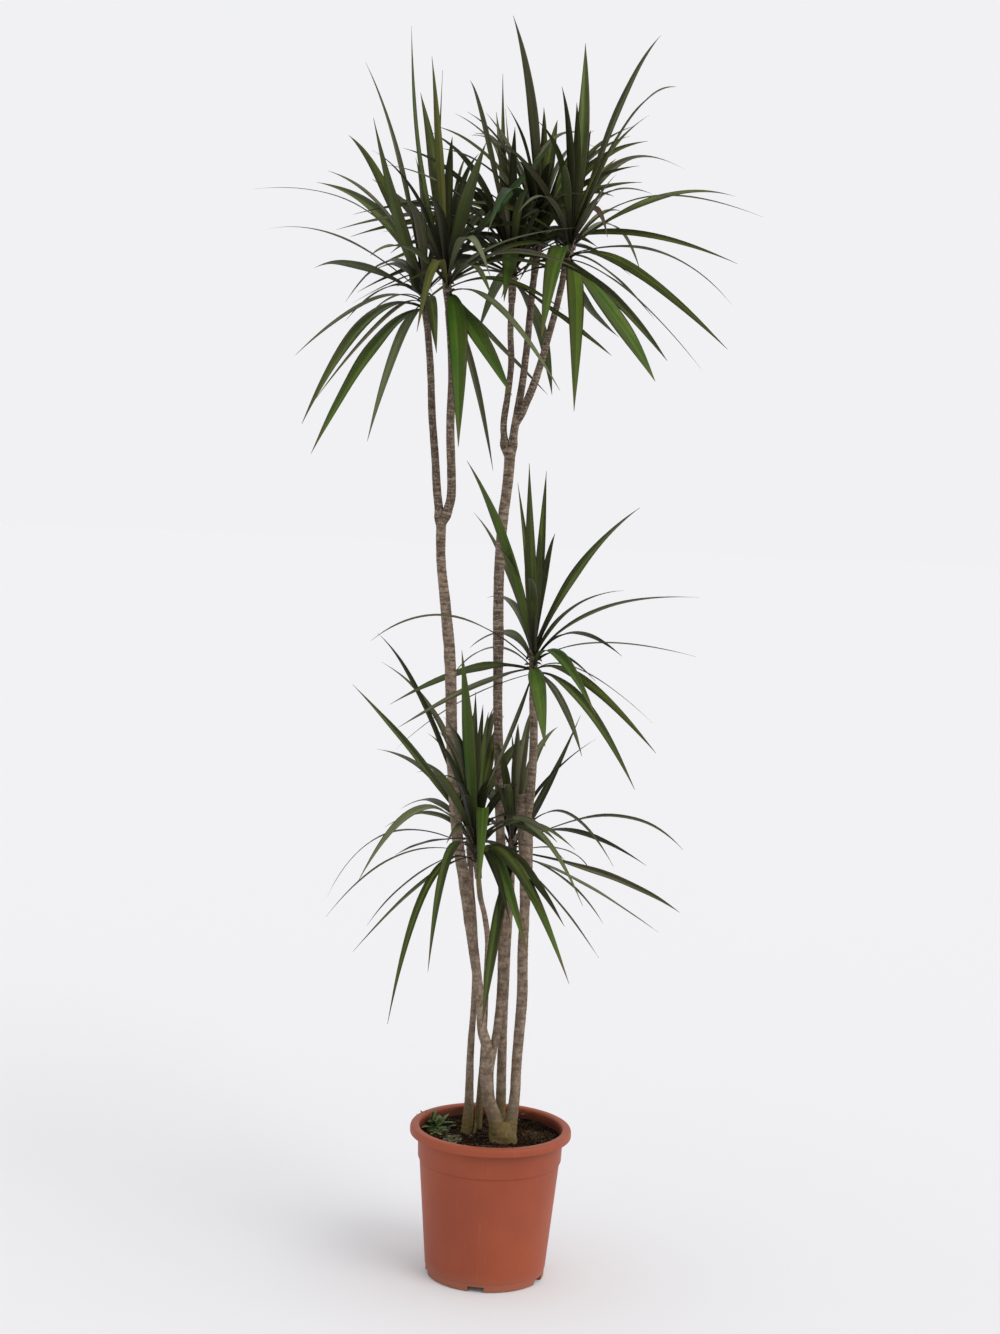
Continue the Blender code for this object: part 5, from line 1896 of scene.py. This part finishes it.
    def turned(self, bodies: Shape, draw: np.random.Generator) -> Shape:
        """Turn each body about Z by its own angle, after tipping it about X by a small one.

        Args:
            bodies: Places whose first axis counts the bodies.
            draw: Source of the angles.

        Returns:
            The turned bodies.
        """
        turn = draw.uniform(0, TAU, (len(bodies), 1, 1))
        tip = draw.uniform(-self.tip, self.tip, (len(bodies), 1, 1))
        x, y, z = np.moveaxis(bodies, -1, 0)
        away = y * np.cos(tip) - z * np.sin(tip)
        high = y * np.sin(tip) + z * np.cos(tip)
        out, aside = compass(turn)
        return x[..., None] * out + away[..., None] * aside + high[..., None] * UP

    def fibres(self, count: int = 170, seed: int = 21) -> Thing:
        """Coir fibres: thin bent strands, each a half wave that lies on the soil.

        Args:
            count: How many strands.
            seed: Number that their differences are drawn from.

        Returns:
            The fibres, as one mesh object.
        """
        draw = np.random.default_rng(seed)
        places = self.scatter(draw, count, self.fibre_reach)
        length = draw.uniform(*self.fibre_lengths, (count, 1))
        out, aside = compass(draw.uniform(0, TAU, (count, 1)))
        t = np.linspace(-0.5, 0.5, 7)
        arc = np.cos(math.pi * t)
        bow = draw.uniform(-self.fibre_bow, self.fibre_bow, (count, 1)) * length * arc
        flat = places[:, None] + out * (t * length)[..., None] + aside * bow[..., None]
        x, y = flat[..., 0], flat[..., 1]
        inside = np.minimum(1.0, self.fibre_limit / np.maximum(np.hypot(x, y), TINY))
        hump = draw.uniform(*self.fibre_humps, (count, 1)) * blend(arc, self.fibre_end_hump, 1.0)
        line = self.laid(x * inside, y * inside) + UP * hump[..., None]
        ahead = unit(np.gradient(line, axis=1))
        first = unit(np.cross(UP, ahead))
        radius = draw.uniform(*self.fibre_radii, (count, 1, 1, 1))
        out = spokes(first, np.cross(ahead, first), self.fibre_sides)
        return skin("soil_fibres", line[:, :, None] + radius * out)

    def build(self) -> None:
        """Build the bed of soil and all that lies on it."""
        dark = SoilFinish("soil_dark", (0.005, 0.003, 0.002), (0.046, 0.029, 0.017))
        dress(self.bed(), [dark.paint()], ("soil",))
        for finish, *strewn in STREWN:
            dress(self.pebbles(*strewn), [finish.paint()])
        fibre = PlainFinish("coir", (0.045, 0.027, 0.016), (0.120, 0.075, 0.045), 0.9)
        dress(self.fibres(), [fibre.paint()])


@dataclass
class SmallGrowth:
    """What grows or lies on the soil: a weed and moss by the rim, a scrap of leaf, a stub shoot."""

    soil: Soil = field(default_factory=Soil)
    tuft_spread: float = 6 * MM
    droop: float = 0.35
    leaf_thickness: float = 0.35 * MM
    spindle: Span = (0.08, 0.90)
    spindle_power: float = 0.8
    scrap_middle: Place = (53.94 * MM, 96.72 * MM, 6.5 * MM)
    scrap_half: Place = (8.37 * MM, 2.79 * MM, 1.2 * MM)
    scrap_curl: float = 1.395 * MM
    scrap_width: float = 5 * MM
    scrap_section: tuple[Place, ...] = (
        (0.0, 1.0, 0.05), (0.0, 0.0, 0.12), (0.0, -1.0, -0.02), (0.0, 0.0, -0.12),
    )
    stub_foot: Place = (-25 * MM, 17 * MM, 200 * MM)
    stub_run: Place = (3 * MM, -2 * MM, 23 * MM)
    stub_radius: float = 2.6 * MM
    stub_taper: float = 0.25
    stub_sides: int = 12

    def sprig(
        self, name: str, centre: Span, count: int, lengths: Span, width: float, slopes: Span, seed: int
    ) -> Thing:
        """A tuft of small pointed leaves that rise from the soil.

        Each leaf is a flat spindle: its half width is a sine of its length's share, and it
        climbs along its slope and droops by the square of that share.

        Args:
            name: The piece's name.
            centre: Place of the tuft.
            count: How many leaves.
            lengths: Shortest and longest leaf.
            width: Greatest width of a leaf.
            slopes: Lowest and steepest slope, in radians.
            seed: Number that the differences are drawn from.

        Returns:
            The tuft as one mesh object.
        """
        draw = np.random.default_rng(seed)
        root = np.array([*centre, 0.0]) + draw.normal(0, 1, (count, 3)) * self.tuft_spread
        root = self.soil.laid(root[:, 0], root[:, 1])
        size = draw.uniform(*lengths, (count, 1, 1))
        out, aside = compass(draw.uniform(0, TAU, (count, 1)))
        slope = draw.uniform(*slopes, (count, 1, 1))
        t = np.linspace(0, 1, 7)[:, None]
        climb = np.sin(slope) * t - self.droop * t ** 2
        line = root[:, None] + size * (out * np.cos(slope) * t + UP * climb)
        start, span = self.spindle
        half = width / 2 * np.sin(math.pi * (start + span * t)) ** self.spindle_power
        corner = np.array([1.0, 0.0, -1.0, 0.0])[:, None]
        thick = np.array([0.0, 1.0, 0.0, -1.0])[:, None] * self.leaf_thickness
        rings = line[:, :, None] + aside[:, :, None] * half[:, None] * corner + UP * thick
        return skin(name, rings)

    def scrap(self) -> Thing:
        """A dead scrap of leaf that lies on the soil behind the stump.

        Returns:
            Its mesh object.
        """
        t = np.linspace(-1, 1, 9)
        middle, half = self.scrap_middle, self.scrap_half
        x = middle[0] + half[0] * t
        y = middle[1] + half[1] * t + self.scrap_curl * np.sin(2 * t)
        high = middle[2] + half[2] * (1 - t ** 2)
        line = self.soil.laid(x, y) + UP * high[:, None]
        width = self.scrap_width * np.sqrt(np.maximum(0.02, 1 - t ** 2))[:, None, None]
        section = np.array(self.scrap_section)
        return skin("leaf_scrap", (line[:, None] + section * width)[None, :, ::-1])

    def stub(self) -> Thing:
        """A young yellow-green shoot beside the slender cane, and its blunt tip.

        Returns:
            Its mesh object.
        """
        t = np.linspace(0, 1, 12)[:, None]
        line = np.array(self.stub_foot) + t * np.array(self.stub_run)
        blunt = np.sqrt(np.maximum(0.03, 1 - t ** 5))
        radius = self.stub_radius * blunt * (1 - self.stub_taper * t)
        ring = compass(around(self.stub_sides))[0]
        return skin("stub_shoot", (line[:, None] + ring * radius[:, None])[None])

    def build(self) -> None:
        """Build every small growth."""
        green = PlainFinish("weed_green", (0.050, 0.080, 0.018), (0.150, 0.210, 0.060), 0.65).paint()
        mossy = PlainFinish("moss_green", (0.045, 0.050, 0.020), (0.160, 0.160, 0.075), 0.95).paint()
        for tuft in TUFTS:
            dress(self.sprig(*tuft), [green])
        for patch in MOSS:
            dress(self.soil.pebbles(*patch), [mossy])
        scrap = PlainFinish("scrap_grey", (0.075, 0.080, 0.050), (0.150, 0.160, 0.105), 0.8)
        dress(self.scrap(), [scrap.paint()])
        stub = PlainFinish("stub_green", (0.120, 0.120, 0.030), (0.230, 0.210, 0.070), 0.6)
        dress(self.stub(), [stub.paint()])


@dataclass
class Studio:
    """The pale floor, the soft light and the camera that sees the plant as it was seen."""

    camera_place: Place = (-0.016, -3.2, 1.2035)
    focal_px: float = 2200.0
    height_px: float = 1334.0
    sensor: float = 36.0
    pitch: float = math.radians(5.25)
    roll: float = math.radians(2.5)
    sight: float = 200.0
    surround: float = 0.897
    surround_tint: Colour = (0.981, 0.981, 1.0)
    lamp_tint: Colour = (1.0, 0.985, 0.96)
    lamps: tuple[tuple[str, Place, float, float], ...] = (
        ("key", (0.66, -0.60, 0.84), 0.88, math.radians(34)),
        ("side", (1.0, -0.15, 0.35), 0.62, math.radians(70)),
    )
    floor_half: float = 30.0
    floor_depth: float = 20 * MM
    floor_colour: Colour = (0.761, 0.761, 0.771)
    floor_roughness: float = 0.9
    floor_glow: Colour = (0.985, 0.99, 1.0)
    glow_strength: float = 0.02

    def camera(self) -> None:
        """Set the camera: it looks along +Y, a little down, and is rolled a little."""
        made = bpy.data.cameras.new("camera")
        made.sensor_width = self.sensor
        made.lens = self.focal_px / self.height_px * self.sensor
        made.clip_end = self.sight
        eye = linked("camera", made)
        tilt = Matrix.Rotation(math.pi / 2 - self.pitch, 4, "X")
        rolled = tilt @ Matrix.Rotation(self.roll, 4, "Z")
        eye.matrix_world = Matrix.Translation(self.camera_place) @ rolled
        bpy.context.scene.camera = eye

    def surroundings(self) -> None:
        """An even pale surround, which is also the soft light from all sides."""
        world = bpy.data.worlds.new("surround")
        world.use_nodes = True
        sky = world.node_tree.nodes["Background"]
        sky.inputs["Color"].default_value = (*self.surround_tint, 1.0)
        sky.inputs["Strength"].default_value = self.surround
        bpy.context.scene.world = world
        bpy.context.scene.view_settings.view_transform = "Standard"

    def light(self) -> None:
        """Broad lights from the right: one high, one low."""
        for name, place, strength, spread in self.lamps:
            made = bpy.data.lights.new(name, "SUN")
            made.energy = strength
            made.angle = spread
            made.color = self.lamp_tint
            lamp = linked(name, made)
            lamp.rotation_mode = "QUATERNION"
            lamp.rotation_quaternion = Vector(place).to_track_quat("Z", "Y")

    def floor(self) -> None:
        """A broad pale floor, which the pot stands on."""
        corner = self.floor_half * np.array([[-1, -1, 0], [1, -1, 0], [1, 1, 0], [-1, 1, 0]])
        piece = skin("floor", np.stack([corner - UP * self.floor_depth, corner])[None])
        piece.data.polygons.foreach_set("use_smooth", np.zeros(len(piece.data.polygons), bool))
        palette = Palette("floor_pale")
        palette.feed(palette.shader.inputs["Emission Color"], self.floor_glow)
        palette.feed(palette.shader.inputs["Emission Strength"], self.glow_strength)
        piece.data.materials.append(palette.finish(self.floor_colour, self.floor_roughness, gloss=0.0))

    def build(self) -> None:
        """Set up the studio."""
        self.camera()
        self.surroundings()
        self.light()
        self.floor()


def main() -> None:
    """Build the pot, the soil, the canes, the foliage and the studio."""
    logging.basicConfig(level=logging.INFO, format="%(message)s")
    for group in (Studio(), Pot(), Soil(), SmallGrowth(), Canes(), Foliage()):
        group.build()


if __name__ == "__main__":
    main()
